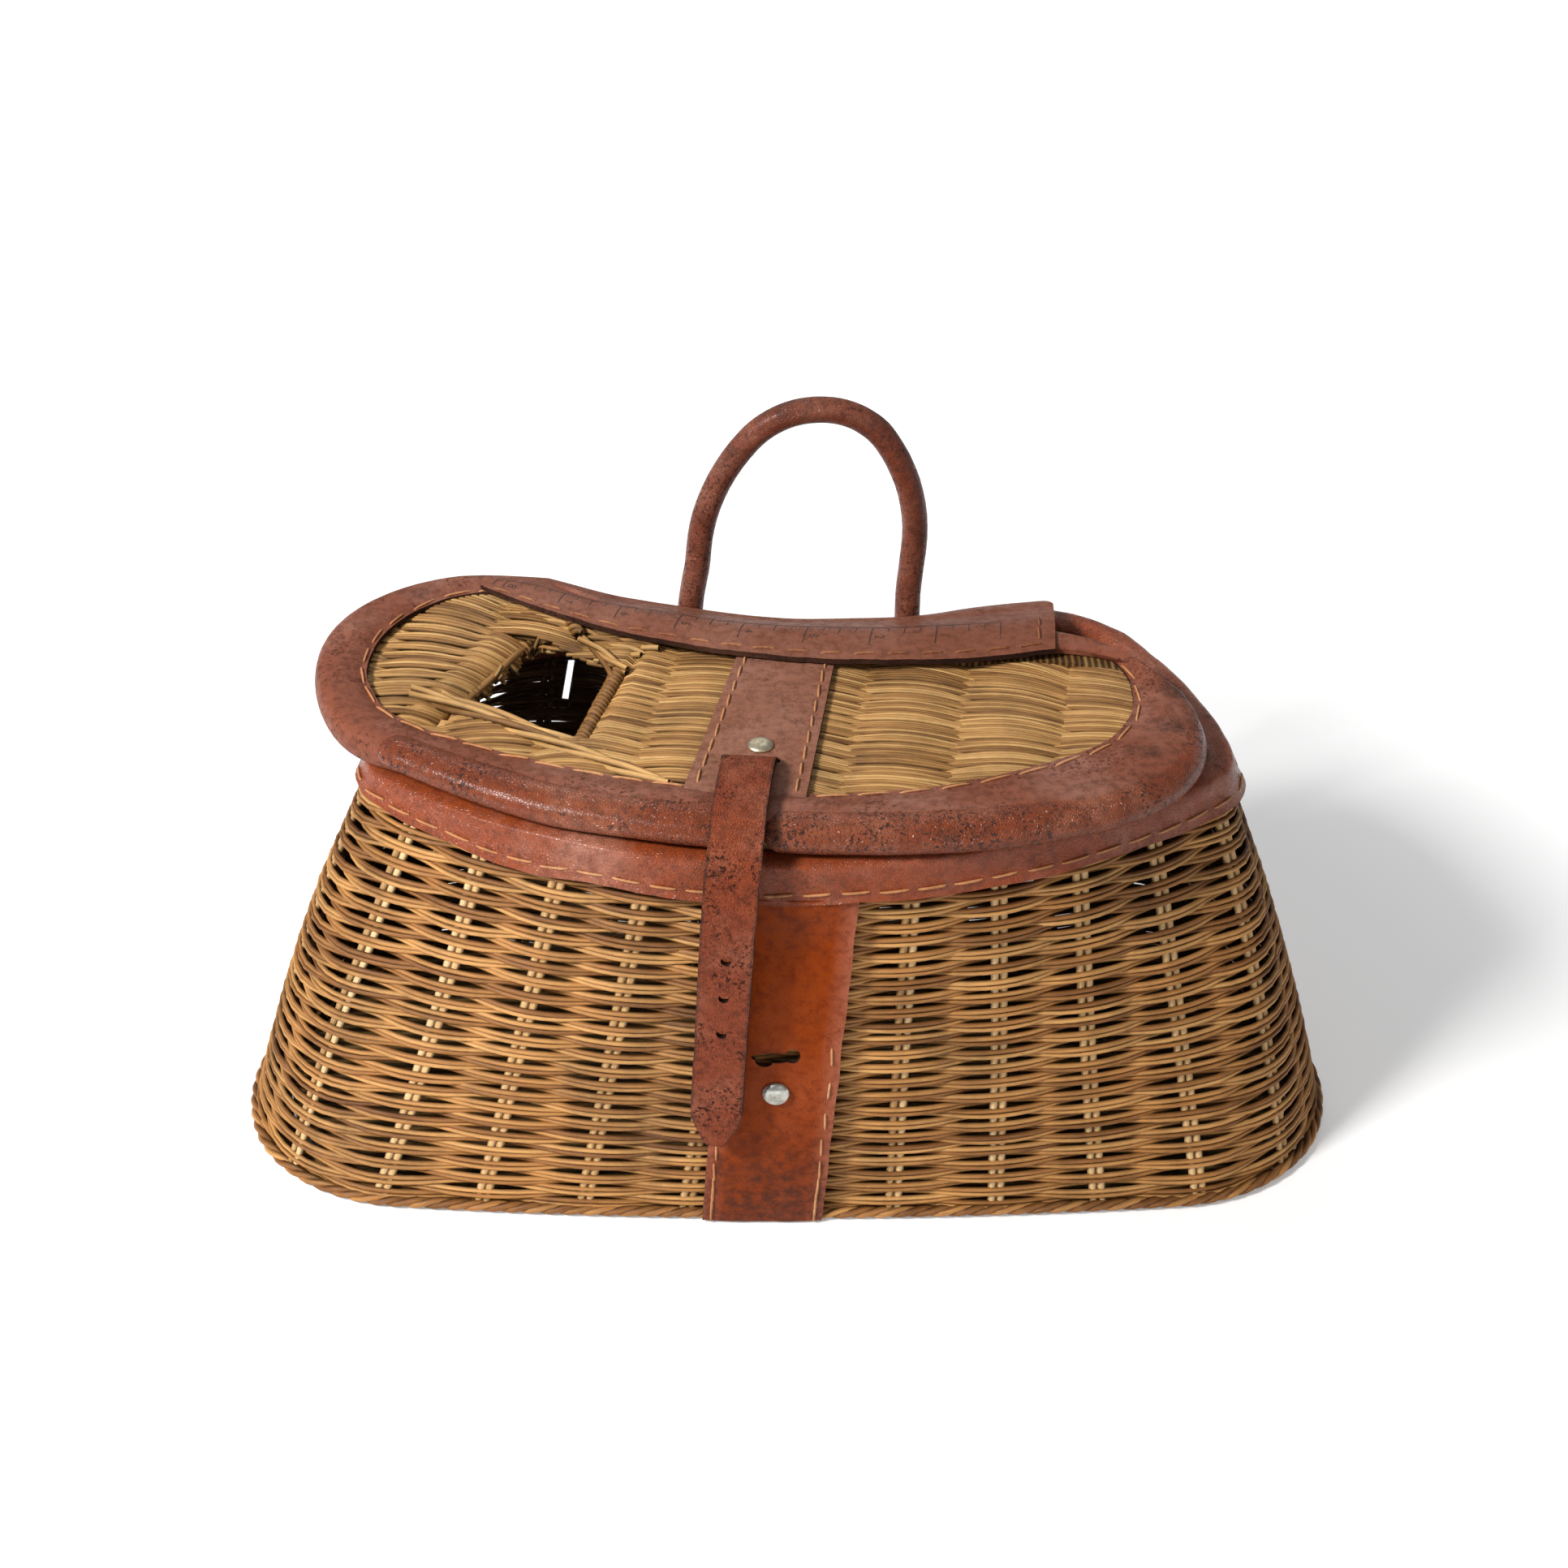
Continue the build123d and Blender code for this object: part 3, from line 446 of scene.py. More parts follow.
# ------------------------ border at the foot
# Three thin rods twisted together close the foot of the wall, and plain rods inside them carry the
# edge of the floor. The creel stands on them.
WALE_TURNS, WALE_SAMPLES = 46, 460
rods = []
for rod in range(3):
    line = []
    for i in range(WALE_SAMPLES):
        angle = 2*pi*(WALE_TURNS*i/WALE_SAMPLES + rod/3)
        point, out = on_wall(i/WALE_SAMPLES, 2.0, 0.0)
        line.append(point + out*(1.6 + 1.15*cos(angle)) + Vector((0, 0, 0.75 + 1.1*sin(angle))))
    rods.append(tube_mesh("rod", line, 6, (1.5, 1.4), closed=True, strand=400 + rod))
wale = join(rods, "foot_wale")
inner = []
for k in range(4):
    line = []
    for i in range(160):
        under, beside = on_wall(i/160, 2.2, -6.4, 0.0)[0], on_wall(i/160, 2.2, -1.6)[0]
        line.append(under.lerp(beside, (k + 0.3)/3.6) + Vector((0, 0, 0.9*(k % 2))))
    inner.append(tube_mesh("rod", line, 6, (1.75, 1.6), closed=True, strand=410 + k))
wale = join([wale] + inner, "foot_wale")
finish(wale, side_cane)
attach(wale, "body")
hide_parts("base_border")

# ------------------------ leather over the rim
# A cane ring stiffens the rim. A wide strip of hide is folded over it and sewn through the weave
# along its raw lower edge.
ring_line = [on_wall(i/160, 169.0, 0.0)[0] for i in range(160)]
hoop = join([tube_mesh("rim_ring", ring_line, 10, (2.6, 2.4), closed=True)], "rim_ring")
finish(hoop, floor_cane)
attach(hoop, "body")
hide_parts("rim_hoop")

# Hide: rubbed pale in patches and along an edge, cracked in dark specks, finely pebbled, and darkened in
# marks that are scuffs, some on the front panel being painted shadow.
hide, taken, given = start_group("hide_grain", ("Speckle", "Wear", "Gloss", "Marks", "Edge"),
                                 ("Tan", "Rubbed", "Dark"))
place = taken["Object"]
cloud = clouds(hide, place, 22.0, 6.0, 0.62)
fine = clouds(hide, place, 240.0, 5.0, 0.7)
cells = node(hide, "ShaderNodeTexVoronoi", {"Vector": place, "Scale": 950.0}, feature="DISTANCE_TO_EDGE")
pebble = cells.outputs["Distance"]
crack = clouds(hide, place, 620.0, 3.0, 0.75)
zone = clouds(hide, place, 48.0, 3.0)
rubbed = times(hide, remap(hide, cloud, 0.44, 0.64), taken["Wear"], True)
edge_wear = times(hide, taken["Edge"], plus(hide, cloud, 0.3), True)
rubbed = calc(hide, "MAXIMUM", rubbed, edge_wear)
toned = blend_colour(hide, rubbed, taken["Tan"], taken["Rubbed"])
toned = blend_colour(hide, remap(hide, fine, 0.44, 0.66, 0.0, 0.5), toned, taken["Dark"])
specks = times(hide, remap(hide, crack, 0.54, 0.61), remap(hide, zone, 0.40, 0.58))
specks = times(hide, specks, taken["Speckle"], True)
toned = blend_colour(hide, specks, toned, taken["Dark"])
# Marks darken towards near black: scuffs, and on the front panel painted shadow too.
marked = times(hide, taken["Marks"], remap(hide, fine, 0.3, 0.6, 0.25, 1.0), True)
toned = blend_colour(hide, marked, toned, (0.035, 0.022, 0.018, 1.0))
hide.links.new(toned, given["Colour"])
rough = plus(hide, remap(hide, fine, 0.3, 0.75, -0.06, 0.16), taken["Gloss"])
rough = plus(hide, rough, times(hide, specks, 0.3), True)
hide.links.new(rough, given["Roughness"])
height = plus(hide, times(hide, remap(hide, pebble, 0.0, 0.16), 0.55), times(hide, fine, 0.9))
hide.links.new(calc(hide, "SUBTRACT", height, times(hide, specks, 0.5)), given["Height"])


def hide_finish(name, tan, rubbed, dark, speckle=0.5, wear=0.8, gloss=0.38, coat=0.0, marks=(),
                relief=0.35, shine=0.12, edge=0.0, fray=0.0):
    """Leather. Each dark patch in marks is x, y, z, length along x, length along y and z, and strength; most
    are scuffs, and some on the front panel are painted shadow.

    edge and fray are how far in, as a share of the width, the long edges are rubbed and darkened.
    """
    made, tree, skin, spots = start_material(name)
    place = spots["Object"]
    feeds = {"Object": place, "Tan": (*tan, 1.0), "Rubbed": (*rubbed, 1.0), "Dark": (*dark, 1.0),
             "Speckle": speckle, "Wear": wear, "Gloss": gloss, "Marks": 0.0, "Edge": 0.0}
    effect = node(tree, "ShaderNodeGroup", feeds, node_tree=hide)
    wear_and_shadow = None
    if edge or fray:
        split = node(tree, "ShaderNodeSeparateXYZ", {0: spots["UV"]}).outputs["X"]
        from_middle = calc(tree, "ABSOLUTE", calc(tree, "SUBTRACT", split, 0.5))
        if edge:
            tree.links.new(remap(tree, from_middle, 0.5 - edge, 0.5, 0.0, 1.3), effect.inputs["Edge"])
        if fray:
            wear_and_shadow = remap(tree, from_middle, 0.5 - fray, 0.5, 0.0, 0.9)
    # Dark patches from marks: scuffs, and on the front panel painted shadow too.
    for x, y, z, wide, deep, strength in marks:
        feeds = {"Vector": place, "Location": (x*MM, y*MM, z*MM), "Scale": (wide*MM, deep*MM, deep*MM)}
        local = node(tree, "ShaderNodeMapping", feeds, vector_type="TEXTURE").outputs[0]
        far = node(tree, "ShaderNodeVectorMath", {0: local}, operation="LENGTH").outputs["Value"]
        scuff_and_shadow = remap(tree, far, 0.15, 1.0, strength, 0.0, "SMOOTHSTEP")
        wear_and_shadow = scuff_and_shadow if wear_and_shadow is None else calc(tree, "MAXIMUM", wear_and_shadow, scuff_and_shadow)
    if wear_and_shadow is not None:
        tree.links.new(wear_and_shadow, effect.inputs["Marks"])
    lay_skin(tree, skin, effect, relief, 0.0004, shine)
    skin.inputs["Coat Weight"].default_value = coat
    skin.inputs["Coat Roughness"].default_value = 0.28
    return made


raw_edge = hide_finish("raw_edge", (0.034, 0.014, 0.009), (0.085, 0.036, 0.022), (0.012, 0.006, 0.005),
                       speckle=0.8, gloss=0.75, shine=0.1)


def sheet_of_hide(name, across, along, place, thick=1.6, closed=False):
    """Leather laid over place(u, v) in millimetres, with its thickness behind; cut edges take slot 1."""
    piece = new_piece(bpy.ops.mesh.primitive_grid_add, name, x_subdivisions=across, y_subdivisions=along)
    piece.data.name = name
    coords = []
    for vertex in piece.data.vertices:
        j, i = divmod(vertex.index, across + 1)
        coords.extend(place(i/across, j/along)*MM)
    piece.data.vertices.foreach_set("co", coords)
    if closed:
        in_edit_mode((bpy.ops.mesh.remove_doubles, {"threshold": 0.00002}))
    piece.data.materials.append(None)
    piece.data.materials.append(None)
    bpy.ops.object.modifier_add(type="SOLIDIFY")
    shell = piece.modifiers[-1]
    shell.thickness = thick*MM
    shell.offset = -1.0
    shell.material_offset_rim = 1
    shell.use_quality_normals = True
    bpy.ops.object.modifier_apply(modifier=shell.name)
    bpy.ops.object.shade_smooth_by_angle(angle=radians(50))
    return piece


def along_line(stops, share):
    """Value between evenly spaced stops, rounded off at each."""
    spot = share*(len(stops) - 1)
    k = min(int(spot), len(stops) - 2)
    t = spot - k
    four = zip(stops[max(k - 1, 0)], stops[k], stops[k + 1], stops[min(k + 2, len(stops) - 1)])
    return tuple(0.5*(2*q + (r - p)*t + (2*p - 5*q + 4*r - s)*t*t + (3*q - p - 3*r + s)*t**3)
                 for p, q, r, s in four)


RIM_SECTION = ((7.6, 0.0), (7.0, 2.0), (6.5, 6.0), (6.6, 9.5), (6.5, 12.5), (5.6, 14.2), (2.0, 15.0),
               (-2.6, 14.9), (-5.9, 13.0), (-6.6, 8.5), (-6.6, 3.0), (-6.4, -1.5))


def rim_place(u, v):
    """The leather comes lower at the front, where it puckers and stands off the weaving."""
    grow, z = along_line(RIM_SECTION, v)
    front = max(0.0, cos(2*pi*u))**2
    foot = 161.0 - 2.6*front + 0.7*sin(2*pi*u*9.0)*front + 5.0*near(u, 0.775, 0.09)
    z = mix(foot, 175.0, z/15.0)
    top_fade = 1.0 if v < 0.62 else near(v, 0.62, 0.15)
    swollen = near(u, 0.325, 0.085)*min(v/0.5, 1.0)*top_fade
    grow, z = grow + 2.0*swollen, z + 4.0*swollen
    point, out = on_wall(u, min(z, 176.0), grow)
    point.z = z
    puff = grain(point.x, point.y, point.z*1.6, 0.035)*1.1 + field.noise(point*0.11)*0.45
    if v > 0.6:
        puff *= 0.3
    else:
        puff -= 0.9*abs(out.x)
    return point + out*(puff - 0.2) + Vector((0, 0, 0.6*field.noise(point*0.05))) * (1.0 if v < 0.1 else 0.3)


rim = sheet_of_hide("rim_leather", 300, 33, rim_place, closed=True)
orange_hide = hide_finish("orange_hide", (0.285, 0.054, 0.013), (0.38, 0.145, 0.090), (0.085, 0.018, 0.007),
                          speckle=0.6, wear=0.95, gloss=0.28, coat=0.05, shine=0.32, relief=0.6)
finish(rim, orange_hide, raw_edge)
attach(rim, "body")
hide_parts("rim_binding")


def sew(name, places, thread, body, length=12.0, girth=0.5):
    """Row of stitches: one stitch is modelled and copied; each place is (point, along, out)."""
    stitch = new_piece(bpy.ops.mesh.primitive_uv_sphere_add, name, segments=6, ring_count=7, radius=1.0)
    pattern = stitch.data.copy()
    for vertex in pattern.vertices:
        bent = vertex.co.z
        full = (1 - bent**6)**0.5/max((1 - bent*bent)**0.5, 0.2)
        arch = 0.5*girth*(1 - 1.9*bent**4)
        vertex.co = Vector((bent*length/2, vertex.co.x*girth*full, vertex.co.y*girth*full + arch))
    work = bmesh.new()
    for point, along, out in places:
        along = along.normalized()
        side = out.cross(along).normalized()
        up = along.cross(side)
        turn = Matrix((along, side, up)).transposed().to_4x4()
        slant = Matrix.Rotation(chance.uniform(0.02, 0.09), 4, "Z")
        stretch = Matrix.Scale(chance.uniform(0.88, 1.04), 4, Vector((1, 0, 0)))
        first = len(work.verts)
        work.from_mesh(pattern)
        work.verts.ensure_lookup_table()
        move = Matrix.Scale(MM, 4) @ Matrix.Translation(point) @ turn @ slant @ stretch
        for vertex in work.verts[first:]:
            vertex.co = move @ vertex.co
    work.to_mesh(stitch.data)
    work.free()
    bpy.data.meshes.remove(pattern)
    stitch.data.name = name
    bpy.ops.object.shade_smooth()
    finish(stitch, thread)
    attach(stitch, body)
    return stitch


def row_of(place, count, start=0.0, end=1.0, away=0.0):
    """Evenly spaced (point, along, out) on a curve; place(t) gives point and outward direction."""
    row = []
    for i in range(count):
        t = mix(start, end, (i + 0.5)/count)
        point, out = place(t)
        ahead, behind = place(t + 0.002)[0], place(t - 0.002)[0]
        row.append((point + out*away, ahead - behind, out))
    return row


old_thread = hide_finish("old_thread", (0.30, 0.115, 0.050), (0.46, 0.21, 0.10), (0.10, 0.036, 0.016),
                         speckle=0.6, gloss=0.6, shine=0.15)
thread = hide_finish("waxed_thread", (0.55, 0.245, 0.10), (0.70, 0.38, 0.19), (0.26, 0.10, 0.04),
                     speckle=0.2, gloss=0.6, shine=0.2)


rim_row = row_of(lambda t: (rim_place(t, 0.13), on_wall(t, 163.0, 7.0)[1]), 62, away=0.15)
sew("rim_stitches", rim_row, thread, "body", length=11.5)

# ------------------------ front panel and its stud
# An upright strip of hide hides the joint of the weaving. It carries the domed metal stud that the
# strap buttons on, with a torn slit above it.
PANEL_FOOT, PANEL_HEAD, PANEL_TOP = (-34.0, 12.6), (-22.6, 24.6), 160.0
PANEL_SECTION = ((4.4, 1.0), (5.2, 7.0), (5.7, 14.0), (5.9, 22.0), (5.9, 40.0), (5.9, 65.0), (5.9, 95.0),
                 (5.9, 130.0), (5.9, 160.0))


def held(value):
    """A share kept between none and all."""
    return min(max(value, 0.0), 1.0)


def wall_front(x, z, grow):
    share = z/RIM_TOP
    centre, radius = half_arcs(**mix(BODY_BASE, BODY_RIM, share))[0][:2]
    return centre[1] - sqrt((radius + grow - WALL_INSET)**2 - (x - RIM_SHIFT*share)**2)


def panel_place(u, v):
    grow, z = along_line(PANEL_SECTION, v)
    share = z/PANEL_TOP
    wave = 0.5*grain(3.0, z*0.06, u)
    x = mix(mix(PANEL_FOOT[0], PANEL_HEAD[0], share), mix(PANEL_FOOT[1], PANEL_HEAD[1], share), u) + wave
    puff = 1.1*grain(x, z, 0.0, 0.045) + 0.35*grain(x, z, 5.0, 0.16)
    crown = sin(pi*held(u))
    puff += 0.9*crown**0.5
    return Vector((x, wall_front(x, z, grow + puff*crown), z))


def cut_with(piece, tool):
    """Cuts the tool's shape out of a piece and throws the tool away."""
    bpy.context.view_layer.objects.active = piece
    cut = piece.modifiers.new("hole", "BOOLEAN")
    cut.object = tool
    cut.solver = "EXACT"
    bpy.ops.object.modifier_apply(modifier=cut.name)
    bpy.data.objects.remove(tool)


def punch(piece, centre, radii, depth, turn=(pi/2, 0.0, 0.0)):
    """Cuts a round or oval hole through a piece; centre is in millimetres."""
    tool = new_piece(bpy.ops.mesh.primitive_cylinder_add, vertices=20, radius=1.0, depth=1.0)
    for vertex in tool.data.vertices:
        vertex.co = Vector((vertex.co.x*radii[0], vertex.co.y*radii[1], vertex.co.z*depth))
    for polygon in tool.data.polygons:
        polygon.material_index = 1
    tool.data.transform(Matrix.Scale(MM, 4) @ Matrix.Translation(centre) @ Euler(turn).to_matrix().to_4x4())
    cut_with(piece, tool)


panel = sheet_of_hide("front_panel_leather", 20, 60, panel_place)
# Dark patches on the panel: the three small ones paint the shadow seen through the strap's holes, and the two
# near the top paint the shadow under the rim, behind the strap and to its right. One darkens the panel round
# the slit, and the large low one darkens it towards its foot.
panel_marks_and_shadows = [(-8.0, -80, 152, 14, 12, 0.3), (-5.0, -80, 88, 12, 6, 0.8), (-21.0, -80, 137, 4, 4, 1.0),
               (-22.0, -80, 119, 4, 4, 1.0), (-23.2, -80, 102, 4, 4, 1.0), (-11.0, -84, 10, 60, 62, 0.7),
               (2.0, -80, 156, 40, 26, 0.3)]
glossy_hide = hide_finish("glossy_hide", (0.325, 0.049, 0.003), (0.42, 0.130, 0.070), (0.130, 0.015, 0.002),
                          speckle=0.35, wear=0.18, gloss=0.26, marks=panel_marks_and_shadows, shine=0.05, edge=0.17)
finish(panel, glossy_hide, raw_edge)
for x, z, radii in ((-5.4, 87.2, (8.8, 2.3)), (1.2, 88.0, (2.9, 3.3)), (-9.4, 85.4, (3.2, 2.6))):
    punch(panel, Vector((x, -73.0, z)), radii, 30.0)
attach(panel, "body")
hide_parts("front_panel")
FORWARDS = Vector((0.0, -1.0, 0.0))
panel_rows = []
for side, count, last in ((0.07, 14, 1.0), (0.93, 10, 0.74)):
    panel_rows += row_of(lambda t: (panel_place(side, t*0.95 + 0.05), FORWARDS), count, 0.0, last)
sew("panel_stitches", panel_rows, thread, "body", length=9.6)


def metal_finish(name, bright, dull, rough):
    """Bare metal, stained and a little pitted."""
    made, tree, skin, spots = start_material(name)
    stain = clouds(tree, spots["Object"], 420.0, 5.0, 0.7)
    amount = remap(tree, stain, 0.4, 0.68)
    tree.links.new(blend_colour(tree, amount, (*bright, 1.0), (*dull, 1.0)), skin.inputs["Base Color"])
    tree.links.new(remap(tree, stain, 0.3, 0.7, rough, rough + 0.22), skin.inputs["Roughness"])
    skin.inputs["Metallic"].default_value = 1.0
    raise_grain(tree, skin, stain, 0.12, 0.0002)
    return made


brass = metal_finish("worn_brass", (0.72, 0.64, 0.47), (0.40, 0.33, 0.22), rough=0.34)
nickel = metal_finish("worn_nickel", (0.60, 0.60, 0.55), (0.30, 0.29, 0.24), rough=0.26)


def dome(name, centre, out, radius, height, metal):
    """Pressed metal head, low and round, with a rolled rim."""
    head = new_piece(bpy.ops.mesh.primitive_uv_sphere_add, name, segments=32, ring_count=20, radius=1.0)
    for vertex in head.data.vertices:
        x, y, z = vertex.co
        flat = hypot(x, y)
        wide = flat**0.82/flat if flat > 1e-6 else 1.0
        vertex.co = Vector((x*wide*radius, y*wide*radius, z*height if z > 0 else z*0.5))
    turn = out.to_track_quat("Z", "Y").to_matrix().to_4x4()
    head.data.transform(Matrix.Scale(MM, 4) @ Matrix.Translation(centre) @ turn)
    bpy.ops.object.shade_smooth()
    finish(head, metal)
    return head


STUD_X, STUD_Z = -5.0, 70.0
stud_seat = Vector((STUD_X, wall_front(STUD_X, STUD_Z, 7.0), STUD_Z))
stud = dome("strap_stud", stud_seat, Vector((0, -1, 0.08)), 5.2, 2.6, nickel)
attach(stud, "body")
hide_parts("closing_stud")

# ------------------------ handle
# One long strap of hide is rolled round a cord for the grip. Its two ends are left flat and
# riveted to the back of the rim.
HANDLE_LEFT, HANDLE_RIGHT, HANDLE_Y, HANDLE_R = -38.0, 48.5, 97.5, 5.25
BEND_Z, CROWN_Z, CROWN_R, TAB_LOW, FOOT_Z = 205.0, 266.0, 34.0, 138.0, 167.0


def wall_back(x, z, grow):
    share = z/RIM_TOP
    arcs = half_arcs(**mix(BODY_BASE, BODY_RIM, share))
    flat = abs(x - RIM_SHIFT*share)
    centre, radius = arcs[4][:2]
    if flat < (radius - grow + WALL_INSET)*cos(arcs[3][4] - pi):
        return centre[1] - sqrt((radius - grow + WALL_INSET)**2 - flat**2)
    centre, radius = arcs[3][:2]
    return centre[1] + sqrt(max((radius + grow - WALL_INSET)**2 - (flat - centre[0])**2, 0.0))


half = (HANDLE_RIGHT - HANDLE_LEFT)/2
rise = CROWN_Z - CROWN_R - BEND_Z
bend = (half**2 + rise**2 - CROWN_R**2)/(2*(half - CROWN_R))
tilt = atan2(rise, bend - half)
legs = []
for k in range(12):
    z = mix(TAB_LOW, FOOT_Z, k/11)
    legs.append((half, z, 1.0))
for k in range(1, 10):
    legs.append((half, mix(FOOT_Z, BEND_Z, k/9), 0.0))
for k in range(1, 11):
    angle = tilt*k/10
    legs.append((bend*cos(angle) - (bend - half), BEND_Z + bend*sin(angle), 0.0))
for k in range(1, 14):
    angle = mix(tilt, pi/2, k/13)
    legs.append((CROWN_R*cos(angle), CROWN_Z - CROWN_R + CROWN_R*sin(angle), 0.0))
middle_x = (HANDLE_LEFT + HANDLE_RIGHT)/2
line, girths = [], []
for side, run in ((-1, legs), (1, legs[-2::-1])):
    for x, z, flat in run:
        here = middle_x + side*x
        if flat:
            ease = max(0.0, (z - 156.0)/(FOOT_Z - 156.0))
            y = mix(wall_back(here, z, 10.2), HANDLE_Y, ease*ease)
            girths.append((mix(9.0, HANDLE_R, ease), mix(1.6, HANDLE_R - 0.2, ease)))
        else:
            y = HANDLE_Y
            girths.append((HANDLE_R - 0.1, HANDLE_R - 0.1))
        splay = 3.0*near(z, 172.0, 26.0) if side < 0 else 0.0
        line.append(Vector((here + 0.085*max(0.0, z - 185.0) - splay, y, z)))


def close_ends():
    """Caps the open ends of the active piece and turns its faces outwards."""
    in_edit_mode((bpy.ops.mesh.region_to_loop, {}), (bpy.ops.mesh.edge_face_add, {}),
                 (bpy.ops.mesh.select_all, {"action": "SELECT"}),
                 (bpy.ops.mesh.normals_make_consistent, {"inside": False}))


def rumple(piece, coarse, fine, push):
    """Makes rolled hide uneven in one direction; coarse and fine are each a depth and a scale."""
    for vertex in piece.data.vertices:
        point = vertex.co/MM
        shift = coarse[0]*field.noise(point*coarse[1]) + fine[0]*field.noise(point*fine[1])
        vertex.co += push*shift*MM


BACKWARDS = Vector((0.0, 1.0, 0.0))
handle = tube_mesh("rolled_handle", line, 20, girths, spin=BACKWARDS)
rumple(handle, (0.35, 0.09), (0.14, 0.4), Vector((0.5, 1.0, 0.0)))
handle = join([handle], "rolled_handle")
close_ends()
crown_marks = [(-2.0, 98, 266, 22, 10, 0.55), (30.0, 98, 258, 16, 10, 0.4), (-26.0, 98, 250, 10, 18, 0.35),
               (52.0, 98, 215, 6, 30, 0.3), (8.0, 108, 266, 46, 14, 0.5)]
brown_hide = hide_finish("brown_hide", (0.185, 0.043, 0.019), (0.31, 0.115, 0.070), (0.045, 0.012, 0.007),
                         speckle=0.9, wear=0.9, gloss=0.32, coat=0.05, marks=crown_marks,
                         shine=0.22, relief=0.6)
finish(handle, brown_hide)
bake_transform(handle)
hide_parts("handle_leather", "handle_tabs")
cord_core = cane_finish("cord_core", (0.60, 0.53, 0.42), (0.45, 0.38, 0.28), (0.25, 0.20, 0.14),
                        axes="XY", rib=1.6)
grip = [place for place, girth in zip(line, girths) if girth[1] > HANDLE_R - 0.4]
core = tube_mesh("handle_cord", grip, 8, (2.9, 2.9), spin=BACKWARDS)
core = join([core], "handle_cord")
close_ends()
finish(core, cord_core)
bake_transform(core)
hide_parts("handle_core")
finish(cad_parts["handle_tab_rivets"], brass)

# ------------------------ woven top of the lid
# Fine reeds run from end to end over stakes that lie front to back, and fan out at the left end.
# The fish hole is left open in them and bound with wrapped and twisted reeds.
LID_LEFT = dict(front=45.0, corner=(116.2, 21.3, 49.3), side=101.7, lobe=(115.8, 47.2, 60.5), hollow=74.0)
LID_RIGHT = dict(front=45.0, corner=(110.0, 24.0, 46.0), side=82.0, lobe=(115.1, 33.9, 50.9), hollow=74.0)
OPEN_LEFT = dict(front=32.0, corner=(105.0, 35.0, 46.5), side=60.0, lobe=(106.0, 48.5, 47.0), hollow=62.0)
OPEN_RIGHT = dict(front=32.0, corner=(94.0, 48.0, 46.0), side=49.0, lobe=(95.0, 52.0, 44.5), hollow=62.0)
LID_LOW, LID_ROWS, LID_FIRST, LID_PITCH = 175.0, 58, -43.0, 2.42
REED_FROM, REED_TO, SPARE_TO, REED_STEP = -158.0, 146.0, -84.0, 3.1
LID_STAKE_AT, LID_STAKE_PITCH = -132.0, 38.0
FISH_HOLE = ((-94.5, 63.0), (-112.0, 9.0), (-61.5, -5.5), (-56.0, 43.0))
lid_frame = Matrix.Translation((-16.6, -14.2, LID_LOW)) @ Matrix.Rotation(radians(-9.0), 4, "Z")
lid_edge = outline(LID_RIGHT, LID_LEFT)
lid_opening = outline(OPEN_RIGHT, OPEN_LEFT)
opening_points = [place_on(lid_opening, i/240, 4.5)[:2] for i in range(240)]


def inside(x, y, corners):
    """Whether a point lies inside a closed outline."""
    hit = False
    for (x1, y1), (x2, y2) in zip(corners, corners[1:] + corners[:1]):
        if (y1 > y) != (y2 > y) and x < (x2 - x1)*(y - y1)/(y2 - y1) + x1:
            hit = not hit
    return hit


for name in ("lid_hoop", "lid_stakes"):
    finish(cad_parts[name], cross_cane)


def hole_side(y, left):
    """x of the fish hole's left or right edge at a y."""
    (x1, y1), (x2, y2) = (FISH_HOLE[1], FISH_HOLE[0]) if left else (FISH_HOLE[2], FISH_HOLE[3])
    return x1 + (x2 - x1)*(y - y1)/(y2 - y1)


def lid_reed_at(x, row, lane, lift):
    """Place of a reed on the lid at an x, and its pair of radii; lane 2 is a spare reed under the others."""
    spot = (x - LID_STAKE_AT)/LID_STAKE_PITCH
    step = int(spot // 1)
    part = spot - step
    wave = cos(pi*part)*(1 if (step + row) % 2 == 0 else -1)
    ease = part*part*(3 - 2*part)
    bump = mix(lift[step % 12], lift[(step + 1) % 12], ease)
    fan = 0.42*max(0.0, (-66.0 - x)/80.0)**1.1 - 0.30*max(0.0, (x - 60.0)/80.0)**1.4
    y_row = LID_FIRST + LID_PITCH*row
    y = 27.0 + (y_row - 27.0)*(1 + fan) + 0.7*bump
    if x < -70:
        y += 4.0*((-70 - x)/80.0)**2*(y_row - 60.0)/60.0
    z = 7.3 + 2.3*wave*(1 if wave > 0 else 0.8) + 0.2*lane*bump
    apart = 0.42 + 0.60*(wave + 1.0)*(1 + fan)
    if -6.0 < y < 63.0:
        into = (x - hole_side(y, True) + 25.0)/25.0
        if 0.0 < into <= 1.0:
            pull = min(into/0.5, 1.0)
            z = mix(z, 9.5 - 8.6*into**3, pull*pull*(3 - 2*pull))
            apart = mix(apart, 0.9, pull)
        into = (hole_side(y, False) + 9.0 - x)/9.0
        if 0.0 < into <= 1.0:
            z = mix(z, 9.6 - 5.0*into**2, min(into/0.4, 1.0))
    if lane == 2:
        y, z = y + 1.21*(1 + fan), min(z, 7.6) - 2.4
    else:
        y += lane*apart
    return x, y, z, (0.86, (0.86 + 0.06*bump)*(1 + 0.55*max(fan, 0.0)))


def reed_runs(row, lane, lift):
    """Runs of one reed inside the lid's opening and outside the fish hole, as (place, radii)."""
    runs = [[]]
    x = REED_FROM
    while x <= (SPARE_TO if lane == 2 else REED_TO):
        *spot, radii = lid_reed_at(x, row, lane, lift)
        if inside(*spot[:2], opening_points) and not inside(*spot[:2], list(FISH_HOLE)):
            runs[-1].append((lid_frame @ Vector(spot), radii))
        elif runs[-1]:
            runs.append([])
        x += REED_STEP
    return [run for run in runs if len(run) > 3]


